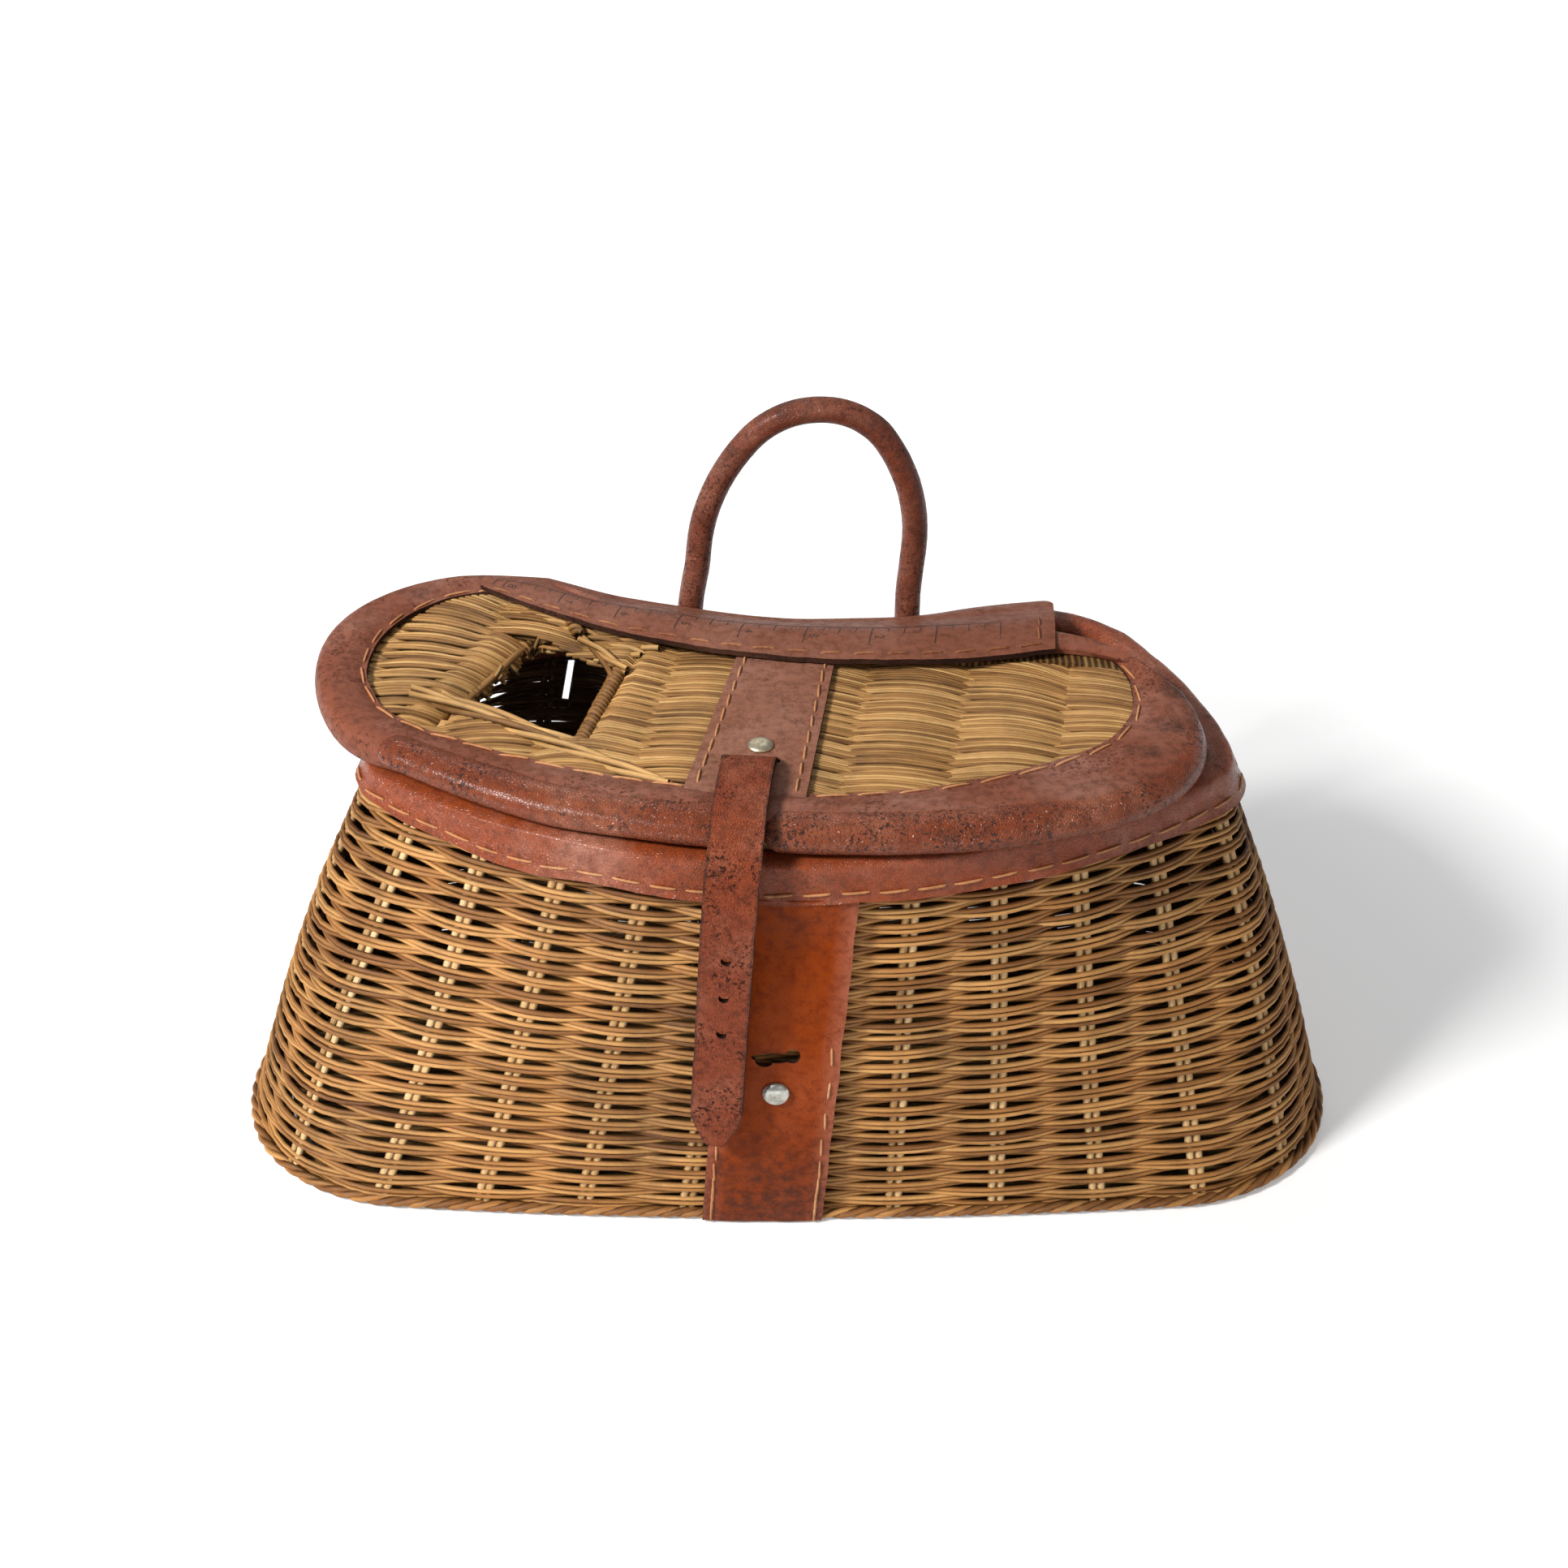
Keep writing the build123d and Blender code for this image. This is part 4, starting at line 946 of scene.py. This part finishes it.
lid_reeds = []
for row in range(LID_ROWS):
    lift = [chance.uniform(-1, 1) for _ in range(12)]
    for lane in (-1, 0, 1, 2):
        for run in reed_runs(row, lane, lift):
            places, sizes = (list(column) for column in zip(*run))
            strand = 600 + 4*row + lane + 1
            # Spun backwards, each lid reed takes its painted highlight on top and painted shade on its front
            # and back flanks.
            lid_reeds.append(tube_mesh("lid_reed", places, 5, sizes, strand=strand, spin=BACKWARDS))
lid_reeds = join(lid_reeds, "lid_reeds")
in_edit_mode((bpy.ops.mesh.region_to_loop, {}), (bpy.ops.mesh.edge_face_add, {}))
lid_cane = cane_finish("lid_cane", (0.80, 0.485, 0.185), (0.50, 0.25, 0.075), (0.14, 0.053, 0.012),
                       grime=0.4, relief=0.5)


def coil(corner_a, corner_b, radius, pitch, girth, z, strands, strand):
    """Reeds wound or twisted round the line between two places on the lid."""
    a, b = Vector((*corner_a, z)), Vector((*corner_b, z))
    axis = (b - a).normalized()
    out = axis.cross(UP).normalized()
    length = (b - a).length
    # face is each strand's spin, and it also places the painted highlight: facing away from the axis on close
    # windings and on top of long twists.
    face = -axis if pitch < 15.0 else UP.cross(axis)
    made = []
    for number in range(strands):
        turns = length/pitch
        samples = max(int(turns*9), 18)
        path = []
        for i in range(samples + 1):
            angle = 2*pi*(turns*i/samples + number/strands)
            reach = radius + 0.25*grain(i*0.21, number, strand)
            wound = out*reach*cos(angle) + Vector((0, 0, reach*sin(angle)))
            path.append(lid_frame @ (a + (b - a)*(i/samples) + wound))
        made.append(tube_mesh("coil", path, 6, (girth, girth), strand=strand + number, spin=face))
    return made


# Both ends, then radius, pitch, girth, height over the lid's foot, strands and the first strand's number.
bound = []
for coiled in (((-98.0, 66.0), (-117.0, 6.0), 0.4, 60.0, 2.0, 3.6, 1, 900),
               ((-57.0, 48.0), (-60.5, -9.0), 2.2, 5.2, 1.25, 7.0, 2, 910),
               ((-131.0, 17.0), (-22.0, -31.0), 2.0, 95.0, 1.4, 8.9, 4, 920),
               ((-122.0, 19.0), (-50.0, -12.0), 1.1, 80.0, 1.35, 7.9, 2, 926),
               ((-106.0, 84.0), (-50.0, 56.5), 1.9, 34.0, 1.35, 8.0, 3, 930),
               ((-95.0, 85.0), (-44.0, 60.0), 1.7, 30.0, 1.35, 9.2, 3, 936),
               ((-76.0, 63.0), (-53.0, 42.0), 0.9, 40.0, 1.25, 10.4, 2, 940),
               ((-71.0, 60.0), (-57.0, 36.0), 0.5, 40.0, 1.2, 9.0, 1, 942),
               ((-84.0, 77.0), (-77.0, 64.0), 1.7, 8.0, 1.2, 11.0, 2, 944)):
    bound += coil(*coiled)
lid_reeds = join([lid_reeds] + bound, "lid_reeds", 0.000001)
finish(lid_reeds, lid_cane)
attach(lid_reeds, "lid")
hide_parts("lid_weave")

# ------------------------ leather round the lid
# A broad strip of hide is folded round the lid's hoop and sewn near its inner edge. Along the
# front it runs on over the padded rolls.
LID_SECTION = ((0.0, 0.4, 0.98), (0.0, 0.2, 0.5), (-3.0, 0.5, 0.0), (-0.8, 2.2, 0.0), (0.0, 5.0, 0.0),
               (-0.2, 8.2, 0.0), (-1.6, 11.0, 0.0), (-4.0, 12.6, 0.0), (0.0, 13.3, 0.32), (0.0, 13.2, 0.55),
               (0.0, 12.2, 0.76), (0.0, 11.0, 0.90), (0.0, 11.0, 1.0))
FRONT_SECTION = ((0.0, 0.4, 0.98), (0.0, 0.2, 0.5), (-3.0, 0.5, 0.0), (-0.5, 2.0, 0.0), (1.2, 4.5, 0.0),
                 (3.4, 8.0, 0.0), (5.2, 11.6, 0.0), (3.4, 12.95, 0.0), (0.0, 13.5, 0.12), (0.0, 12.9, 0.42),
                 (0.0, 11.8, 0.68), (0.0, 10.9, 0.88), (0.0, 10.9, 1.0))


def roll_share(x, nx, ny):
    """How far the leather runs out over a roll at a place on the lid's edge."""
    if ny > 0.55:
        return 0.0
    stop = held((0.9 - nx)/0.5) if x > 100.0 else 1.0
    return held((x + 138.0)/45.0)*stop


def binding_place(u, v):
    x, y, nx, ny = place_on(lid_edge, u, 0.0)
    weight = roll_share(x, nx, ny)
    grow, z, reach = mix(along_line(LID_SECTION, v), along_line(FRONT_SECTION, v), weight)
    ox, oy = place_on(lid_opening, u, 0.0)[:2]
    ex, ey = place_on(lid_edge, u, grow - 4.0*reach)[:2]
    px, py = mix(ex, ox, reach), mix(ey, oy, reach)
    soft = grain(px, py, 9.0, 0.05)*0.55 + grain(px, py, 2.0, 0.16)*0.22
    if v > 0.45:
        z += soft*(0.5 + sin(pi*min(reach, 1.0)))
        px += 0.5*grain(px, py, 7.0, 0.09)*reach
        py += 0.5*grain(px, py, 3.0, 0.09)*reach
    return lid_frame @ Vector((px, py, z))


lid_leather = sheet_of_hide("lid_leather", 280, 36, binding_place, thick=1.5, closed=True)
lid_marks = [(-190, 10, 187, 14, 16, 0.85), (-186, 26, 186, 10, 14, 0.6), (-172, -12, 187, 14, 8, 0.75),
             (140, -8, 187, 12, 8, 0.8), (146, 18, 187, 9, 12, 0.7), (130, -24, 187, 12, 7, 0.6),
             (62, -62, 186, 8, 5, 0.5), (-150, 92, 187, 14, 6, 0.35)]
mauve_hide = hide_finish("mauve_hide", (0.240, 0.074, 0.040), (0.335, 0.150, 0.105), (0.050, 0.015, 0.009),
                         speckle=0.8, wear=0.85, gloss=0.44, marks=lid_marks)
finish(lid_leather, mauve_hide, raw_edge)
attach(lid_leather, "lid")
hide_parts("lid_binding")
seam_places = [place for place in row_of(lambda t: (binding_place(t, 0.922), UP), 50, away=0.2)
               if place[0].y < 60.0 or abs(place[0].x) > 118.0]
sew("lid_stitches", seam_places, thread, "lid", length=12.5)

# ------------------------ padded rolls
# Two rolls of hide, stuffed with cord, follow the front edge of the lid and leave a short break for
# the strap. The right one sinks into the lid's leather at its far end.
ROLL_OUT, ROLL_WIDE, ROLL_TALL, ROLL_SAMPLES = 3.4, 9.8, 6.8, 110


def share_at(x_wanted):
    """Share of the way round the lid where its front edge passes an x."""
    best = min(range(1200), key=lambda i: abs(place_on(lid_edge, i/1200, 6.5)[0] - x_wanted)
               + (0.0 if place_on(lid_edge, i/1200, 0.0)[3] < 0.35 else 1000.0))
    return best/1200


def roll(name, start, end, fade):
    """Padded roll and its cord; over its last part, fade long, it sinks into the leather behind it."""
    line, sizes = [], []
    shares = [mix(start, end, i/ROLL_SAMPLES) for i in range(ROLL_SAMPLES + 1)]
    lengths = [0.0]
    for a, b in zip(shares, shares[1:]):
        (xa, ya), (xb, yb) = place_on(lid_edge, a, ROLL_OUT)[:2], place_on(lid_edge, b, ROLL_OUT)[:2]
        lengths.append(lengths[-1] + hypot(xb - xa, yb - ya))
    for share, gone in zip(shares, lengths):
        left = lengths[-1] - gone
        sunk = max(0.0, 1 - left/fade)**1.1 if fade else 0.0
        to_end = min(gone, left if not fade else 99.0)
        cap = sqrt(max(0.0, 1 - (1 - min(to_end/7.0, 1.0))**2))
        tail = 0.0 if fade else max(0.0, 1 - gone/75.0)**1.2
        x, y = place_on(lid_edge, share, mix(ROLL_OUT, -6.5, sunk) - 6.6*tail)[:2]
        line.append(lid_frame @ Vector((x, y, mix(6.9, 6.3, sunk) + 3.4*tail)))
        soft = 0.3*field.noise(line[-1]*0.06)
        wide = (mix(ROLL_WIDE, 5.4, sunk) + soft)*cap*(1 - 0.24*tail)
        tall = (mix(ROLL_TALL, 5.6, sunk) + soft*0.3)*cap*(1 - 0.24*tail)
        sizes.append((max(wide, 0.5), max(tall, 0.4)))
    skin = tube_mesh(name, line, 24, sizes)
    rumple(skin, (0.34, 0.10), (0.16, 0.33), Vector((0.0, -0.8, 0.5)))
    cord = tube_mesh(name + "_cord", line[6:-6], 10, [(wide*0.62, tall*0.62) for wide, tall in sizes[6:-6]])
    pieces = []
    for piece, label in ((skin, name), (cord, name + "_cord")):
        piece = join([piece], label)
        close_ends()
        pieces.append(piece)
    return pieces


roll_marks = [(-152, -36, 187, 10, 8, 0.9), (-124, -55, 186, 11, 7, 0.75), (-96, -63, 187, 10, 6, 0.45),
              (56, -79, 186, 5, 9, 0.85), (118, -66, 186, 8, 9, 0.95), (34, -76, 188, 4, 5, 0.5),
              (140, -50, 187, 9, 8, 0.5)]
roll_hide = hide_finish("roll_hide", (0.230, 0.047, 0.014), (0.37, 0.130, 0.070), (0.040, 0.011, 0.006),
                        speckle=1.3, wear=0.85, gloss=0.24, coat=0.08, marks=roll_marks,
                        relief=0.8, shine=0.3)
left_end = share_at(9.0)
if left_end <= 0.5:
    left_end += 1.0
left_roll, left_cord = roll("left_roll", share_at(-133.0), left_end, 0.0)
right_roll, right_cord = roll("right_roll", share_at(15.0), 0.262, 120.0)
for piece, hidden in ((left_roll, "lid_roll_left"), (right_roll, "lid_roll_right")):
    finish(piece, roll_hide)
    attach(piece, "lid")
    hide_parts(hidden)
roll_cords = join([left_cord, right_cord], "roll_cords")
finish(roll_cords, cord_core)
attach(roll_cords, "lid")
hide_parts("lid_roll_cores")

# ------------------------ centre panel of the lid
# A panel of hide runs from the ruler band to the front. The strap comes out of a slot in it, and
# a brass rivet behind the slot holds the strap's hidden end.
CENTRE = ((-16.0, -37.0), (28.0, -37.0), (25.0, 66.0), (-12.5, 64.0))


def centre_place(u, v):
    x = mix(mix(CENTRE[0][0], CENTRE[3][0], v), mix(CENTRE[1][0], CENTRE[2][0], v), u)
    y = mix(mix(CENTRE[0][1], CENTRE[3][1], v), mix(CENTRE[1][1], CENTRE[2][1], v), u)
    soft = 0.5*grain(x, y, 4.0, 0.06) + 0.2*grain(x, y, 1.0, 0.2)
    return lid_frame @ Vector((x, y, 11.95 + 0.35*sin(pi*u) + soft*0.6))


centre = sheet_of_hide("centre_leather", 26, 54, centre_place, thick=1.3)
centre_hide = hide_finish("centre_hide", (0.290, 0.118, 0.070), (0.35, 0.165, 0.115), (0.08, 0.028, 0.016),
                          gloss=0.46)
finish(centre, centre_hide, raw_edge)
STRAP_TURN = radians(-5.0)
slot_frame = Matrix.Translation((-14.0, -27.6, 187.0)) @ Matrix.Rotation(STRAP_TURN, 4, "Z")
tool = new_piece(bpy.ops.mesh.primitive_cube_add, size=1.0)
tool.data.transform(Matrix.Scale(MM, 4) @ slot_frame @ Matrix.Diagonal((21.5, 3.4, 20.0, 1.0)))
cut_with(centre, tool)
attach(centre, "lid")
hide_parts("lid_centre_panel")
centre_rows = []
for side in (0.09, 0.91):
    centre_rows += row_of(lambda t: (centre_place(side, mix(0.05, 0.97, t)), UP), 9, away=0.1)
sew("centre_stitches", centre_rows, thread, "lid", length=9.2)
rivet = dome("strap_rivet_head", Vector((-10.6, -19.5, 187.5)), UP, 4.9, 1.7, brass)
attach(rivet, "lid")
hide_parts("strap_rivet")

# ------------------------ closing strap
# One flat strap, flesh side out, comes up through the slot, bends over the rolls and hangs free.
# It is pointed at its end and punched with three holes for the stud.
STRAP_HALF, STRAP_THICK, STRAP_LEAN = 9.6, 2.4, radians(3.8)
ROOT_LINE = ((9.0, 9.2), (2.0, 9.4), (-1.0, 10.6), (-2.6, 12.4), (-5.0, 14.0), (-9.0, 15.4), (-16.0, 16.3),
             (-26.0, 16.5), (-36.0, 16.5), (-41.2, 16.2))
HANG_LINE = ((-3.5, -0.6), (-8.0, -3.4), (-11.8, -8.6), (-14.0, -14.5), (-15.8, -22.0), (-16.8, -31.0),
             (-16.4, -50.0), (-15.2, -70.0), (-14.2, -90.0), (-13.4, -110.0), (-12.9, -127.0),
             (-12.7, -142.5))
root_frame = Matrix.Translation((-14.0, -28.0, LID_LOW)) @ Matrix.Rotation(STRAP_TURN, 4, "Z")
knee_frame = Matrix.Translation((-17.5, -69.0, LID_LOW + 16.2)) @ Matrix.Rotation(STRAP_TURN, 4, "Z")


def strap_place(u, v):
    """u runs across the strap and v along it, from its hidden end to its point."""
    stations = len(ROOT_LINE) + len(HANG_LINE) - 1
    spot = v*stations
    split = len(ROOT_LINE) - 1
    across = (u - 0.5)*2*STRAP_HALF
    if spot <= split:
        y, z = along_line(ROOT_LINE, spot/split)
        return root_frame @ Vector((across, y, z))
    t = (spot - split - 1)/(len(HANG_LINE) - 1)
    if t < 0:
        return strap_place(u, split/stations).lerp(strap_place(u, (split + 1)/stations), spot - split)
    y, z = along_line(HANG_LINE, t)
    across *= mix(0.27, 1.0, held((z + 142.5)/14.5)**0.72)
    across += 0.30*grain(z*0.09, u*2.0, 6.0)*min(1.0, -z/12.0)
    twist = 1.6*sin((z + 20.0)*0.02)*(u - 0.5)
    lean = STRAP_LEAN*min(1.0, -z/16.0)
    offset = Matrix.Rotation(lean, 4, "Y") @ Vector((across, 0.0, z))
    return knee_frame @ (offset + Vector((0.0, y + twist*0.6, 0.0)))


strap = sheet_of_hide("closing_strap", 12, 190, strap_place, thick=STRAP_THICK)
for drop in (50.0, 68.0, 85.5):
    down = Matrix.Rotation(STRAP_LEAN, 4, "Y") @ Vector((0.0, 0.0, -drop))
    punch(strap, knee_frame @ (down + Vector((0.0, -14.0, 0.0))), (1.9, 2.0), 40.0, (pi/2, 0.0, STRAP_TURN))
strap_hide = hide_finish("flesh_side", (0.265, 0.052, 0.018), (0.38, 0.130, 0.070), (0.040, 0.010, 0.005),
                         speckle=1.1, gloss=0.50, relief=1.0, shine=0.16, fray=0.07)
strap_edge = hide_finish("strap_edge", (0.030, 0.012, 0.008), (0.10, 0.045, 0.028), (0.010, 0.005, 0.004),
                         speckle=1.0, gloss=0.8, relief=0.8, shine=0.1)
finish(strap, strap_hide, strap_edge)
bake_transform(strap)
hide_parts("strap_root", "strap_tail")

# ------------------------ ruler band and hinge
# A long band of hide is sewn along the back of the lid and turned down behind it. It is the hinge:
# its lower edge is sewn to the back of the rim. Its top is pressed with a plain inch rule.
BAND_FRONT = ((-124.0, 90.0), (-15.0, 55.0), (109.0, 76.0))
BAND_REAR = ((-124.0, 108.0), (-8.0, 95.5), (106.0, 121.0))
STRIP_LEFT, STRIP_RIGHT, STRIP_TOP, STRIP_FOOT = -89.0, 95.0, 169.0, 151.5


def arc_place(stops, share):
    """Point a share of the way along the arc through three places."""
    (x1, y1), (x2, y2), (x3, y3) = stops
    twice = 2*(x1*(y2 - y3) + x2*(y3 - y1) + x3*(y1 - y2))
    q1, q2, q3 = x1*x1 + y1*y1, x2*x2 + y2*y2, x3*x3 + y3*y3
    cx = (q1*(y2 - y3) + q2*(y3 - y1) + q3*(y1 - y2))/twice
    cy = (q1*(x3 - x2) + q2*(x1 - x3) + q3*(x2 - x1))/twice
    size = hypot(x1 - cx, y1 - cy)
    first, last = atan2(y1 - cy, x1 - cx), atan2(y3 - cy, x3 - cx)
    if last < first:
        last += 2*pi
    if last - first > pi:
        first += 2*pi
    angle = mix(first, last, share)
    return cx + size*cos(angle), cy + size*sin(angle)


def band_top(u, t, rise=0.0):
    """Place on top of the band, from its front edge to its rear edge. It slopes down behind the lid."""
    fx, fy = arc_place(BAND_FRONT, u)
    rx, ry = arc_place(BAND_REAR, u)
    corner = max(0.0, 1 - u/0.10)
    rx, ry = rx + 4.0*corner, ry - 9.0*corner
    x, y = mix(fx, rx, t), mix(fy, ry, t)
    if t < 0.1:
        y += 0.9*grain(x*0.07, 1.0, 8.0) + 0.4*grain(x*0.3, 2.0, 8.0)
    slope = held((t - 0.34)/0.66)
    fall = along_line(((1.0,), (5.5,), (8.6,), (8.4,), (6.4,)), u)[0]
    z = 15.6 + 0.3*sin(pi*t) - fall*slope*slope*(3 - 2*slope)**0.6 + 0.7*grain(x, y, 12.0, 0.035)
    return lid_frame @ Vector((x, y, z + rise))


def band_place(u, v):
    """The top, then down behind the lid and flat against the back of the rim."""
    if v <= 0.5:
        return band_top(u, v/0.5)
    rear = band_top(u, 1.0)
    strip_x = mix(STRIP_LEFT, STRIP_RIGHT, u)
    t = (v - 0.5)/0.5
    off_wall = 8.6 + 0.3*grain(strip_x*0.05, t*2.0, 1.0)
    knee = Vector((strip_x, wall_back(strip_x, STRIP_TOP, off_wall), STRIP_TOP))
    if t > 0.5:
        z = mix(STRIP_TOP, STRIP_FOOT, (t - 0.5)/0.5)
        return Vector((strip_x, wall_back(strip_x, z, off_wall), z))
    t /= 0.5
    first = rear + Vector((0.0, 6.0, -0.3))
    last = knee + Vector((0.0, 0.6, 8.0))
    return rear*(1 - t)**3 + first*3*t*(1 - t)**2 + last*3*t*t*(1 - t) + knee*t**3


band = sheet_of_hide("ruler_band", 110, 48, band_place, thick=2.2)
band_hide = hide_finish("band_hide", (0.238, 0.078, 0.042), (0.31, 0.130, 0.085), (0.08, 0.026, 0.014),
                        speckle=0.35, gloss=0.46)
finish(band, band_hide, raw_edge)
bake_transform(band)
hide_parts("ruler_band", "hinge_strip")
band_rows = row_of(lambda t: (band_top(t, 0.10), UP), 18, 0.02, 0.985, away=0.05)
band_rows += row_of(lambda t: (band_top(0.972, mix(0.16, 0.62, t)), UP), 2, away=0.15)
sew("band_stitches", band_rows, old_thread, "lid", length=9.6)

hinge_row = row_of(lambda t: (band_place(t, 0.97), BACKWARDS), 18, 0.03, 0.97, away=0.1)
sew("hinge_stitches", hinge_row, thread, "body", length=8.0)


def ramp(tree, factor, stops):
    """Colour ramp through (place, colour) stops."""
    made = node(tree, "ShaderNodeValToRGB", {"Fac": factor})
    line = made.color_ramp.elements
    while len(line) < len(stops):
        line.new(1.0)
    for element, (place, colour) in zip(line, stops):
        element.position = place
        element.color = (*colour, 1.0) if len(colour) == 3 else colour
    return made.outputs["Color"]


pressed, tree, skin, spots = start_material("pressed_mark")
fade = clouds(tree, spots["Object"], 160.0, 4.0)
faded = ramp(tree, fade, ((0.50, (0.040, 0.016, 0.010)), (0.80, (0.125, 0.048, 0.029))))
tree.links.new(faded, skin.inputs["Base Color"])
skin.inputs["Roughness"].default_value = 0.6
LINE_AT, INCH, MARK_RISE = 0.60, 25.4, 0.06


def band_share(inches):
    """Share of the band's length at a distance from the zero of the rule, measured leftwards."""
    length, u = 0.0, 0.907
    here = band_top(u, LINE_AT)
    while length < inches*INCH and u > 0.02:
        u -= 0.0005
        there = band_top(u, LINE_AT)
        length += (there - here).length
        here = there
    return u


def mark_grid(columns, rows, place):
    """Thin mark on the band: a grid whose corners go to place(column, row)."""
    made = new_piece(bpy.ops.mesh.primitive_grid_add, x_subdivisions=columns, y_subdivisions=rows)
    for vertex in made.data.vertices:
        j, i = divmod(vertex.index, columns + 1)
        vertex.co = band_top(*place(i, j), MARK_RISE)*MM
    marks.append(made)


marks = []
for quarter in range(37):
    u = band_share(quarter/4)
    low = {0: 0.24, 2: 0.42}.get(quarter % 4, 0.48)
    wide = 0.0011 if quarter % 4 == 0 else 0.0008
    mark_grid(1, 6, lambda i, j: (u + (i - 0.5)*wide*2, mix(low, LINE_AT, j/6)))
mark_grid(120, 1, lambda i, j: (mix(band_share(9.0), band_share(0.0), i/120), LINE_AT + 0.022*j))
for number in range(1, 9):
    figure = new_piece(bpy.ops.object.text_add)
    figure.data.body = str(number)
    figure.data.size = 5.4
    figure.data.align_x = "CENTER"
    figure.data.align_y = "CENTER"
    bpy.ops.object.convert(target="MESH")
    figure = bpy.context.object
    in_edit_mode((bpy.ops.mesh.quads_convert_to_tris, {}))
    u = band_share(number)
    length = (band_top(u + 0.02, 0.4) - band_top(u, 0.4)).length/0.02
    depth = (band_top(u, 0.5) - band_top(u, 0.3)).length/0.2
    for vertex in figure.data.vertices:
        x, y = vertex.co.y, -vertex.co.x
        vertex.co = band_top(u + (x + 3.4)/length, 0.37 + y/depth, MARK_RISE)*MM
    marks.append(figure)
marks = join(marks, "rule_marks", 0.0000001)
in_edit_mode((bpy.ops.mesh.normals_make_consistent, {"inside": False}))
marks.data.materials.clear()
marks.data.materials.append(pressed)
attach(marks, "lid")

# ------------------------ floor, light and camera
# A pale floor that keeps the shadow, a large soft lamp from the left with two weak ones, and a plain
# bright surround. The camera looks a little down on the creel from the front.
ground = new_piece(bpy.ops.mesh.primitive_plane_add, "floor", size=8.0, location=(0.0, 0.0, -0.0004))
paper = bpy.data.materials.new("pale_floor")
paper.use_nodes = True
tree = paper.node_tree
tree.nodes.clear()
matt = node(tree, "ShaderNodeBsdfDiffuse", {"Color": (0.86, 0.86, 0.86, 1.0)})
spots = tree.nodes.new("ShaderNodeTexCoord").outputs
spot = node(tree, "ShaderNodeVectorMath", {0: spots["Object"]}, operation="LENGTH").outputs["Value"]
lift = remap(tree, spot, 0.26, 0.75, 0.24, 0.75, kind="SMOOTHSTEP")
glow = node(tree, "ShaderNodeEmission", {"Color": (1.0, 1.0, 1.0, 1.0), "Strength": lift})
both = node(tree, "ShaderNodeAddShader", {0: matt.outputs[0], 1: glow.outputs[0]})
seen = tree.nodes.new("ShaderNodeLightPath").outputs
view = calc(tree, "MAXIMUM", seen["Is Glossy Ray"], seen["Is Transmission Ray"])
view = calc(tree, "MAXIMUM", seen["Is Camera Ray"], view)
pick = node(tree, "ShaderNodeMixShader", {0: view, 1: matt.outputs[0], 2: both.outputs[0]})
node(tree, "ShaderNodeOutputMaterial", {"Surface": pick.outputs[0]})
ground.data.materials.append(paper)

world = bpy.data.worlds.new("studio")
bpy.context.scene.world = world
world.use_nodes = True
tree = world.node_tree
tree.nodes.clear()
soft = node(tree, "ShaderNodeBackground", {"Color": (0.97, 0.985, 1.0, 1.0), "Strength": 0.25})
white = node(tree, "ShaderNodeBackground", {"Color": (1.0, 1.0, 1.0, 1.0), "Strength": 1.0})
seen = tree.nodes.new("ShaderNodeLightPath").outputs
view = calc(tree, "MAXIMUM", seen["Is Camera Ray"], seen["Is Transmission Ray"])
pick = node(tree, "ShaderNodeMixShader", {0: view, 1: soft.outputs[0], 2: white.outputs[0]})
node(tree, "ShaderNodeOutputWorld", {"Surface": pick.outputs[0]})


def lamp(name, place, size, power, colour=(1.0, 1.0, 1.0)):
    data = bpy.data.lights.new(name, "AREA")
    data.shape = "SQUARE"
    data.size = size
    data.energy = power
    data.color = colour
    light = bpy.data.objects.new(name, data)
    bpy.context.scene.collection.objects.link(light)
    light.location = place
    light.rotation_euler = (Vector((0.0, 0.0, 0.1)) - Vector(place)).to_track_quat("-Z", "Y").to_euler()


lamp("window", (-1.1, -0.75, 1.3), 0.36, 37.0, (1.0, 0.99, 0.975))
lamp("fill", (0.8, -1.3, 1.0), 1.0, 2.5)
lamp("back", (-0.2, 1.3, 1.2), 0.9, 4.0)

view_data = bpy.data.cameras.new("camera")
SENSOR, FOCAL_PIXELS, FRAME_PIXELS = 36.0, 2763.0, 1932.0
view_data.sensor_width = SENSOR
view_data.lens = FOCAL_PIXELS/FRAME_PIXELS*SENSOR
camera = bpy.data.objects.new("camera", view_data)
bpy.context.scene.collection.objects.link(camera)
camera.location = (-0.002, -0.7005, 0.6384)
camera.rotation_euler = (Vector((-0.002, 0.0, 0.157)) - camera.location).to_track_quat("-Z", "Y").to_euler()
bpy.context.scene.camera = camera
bpy.context.scene.view_settings.view_transform = "Standard"
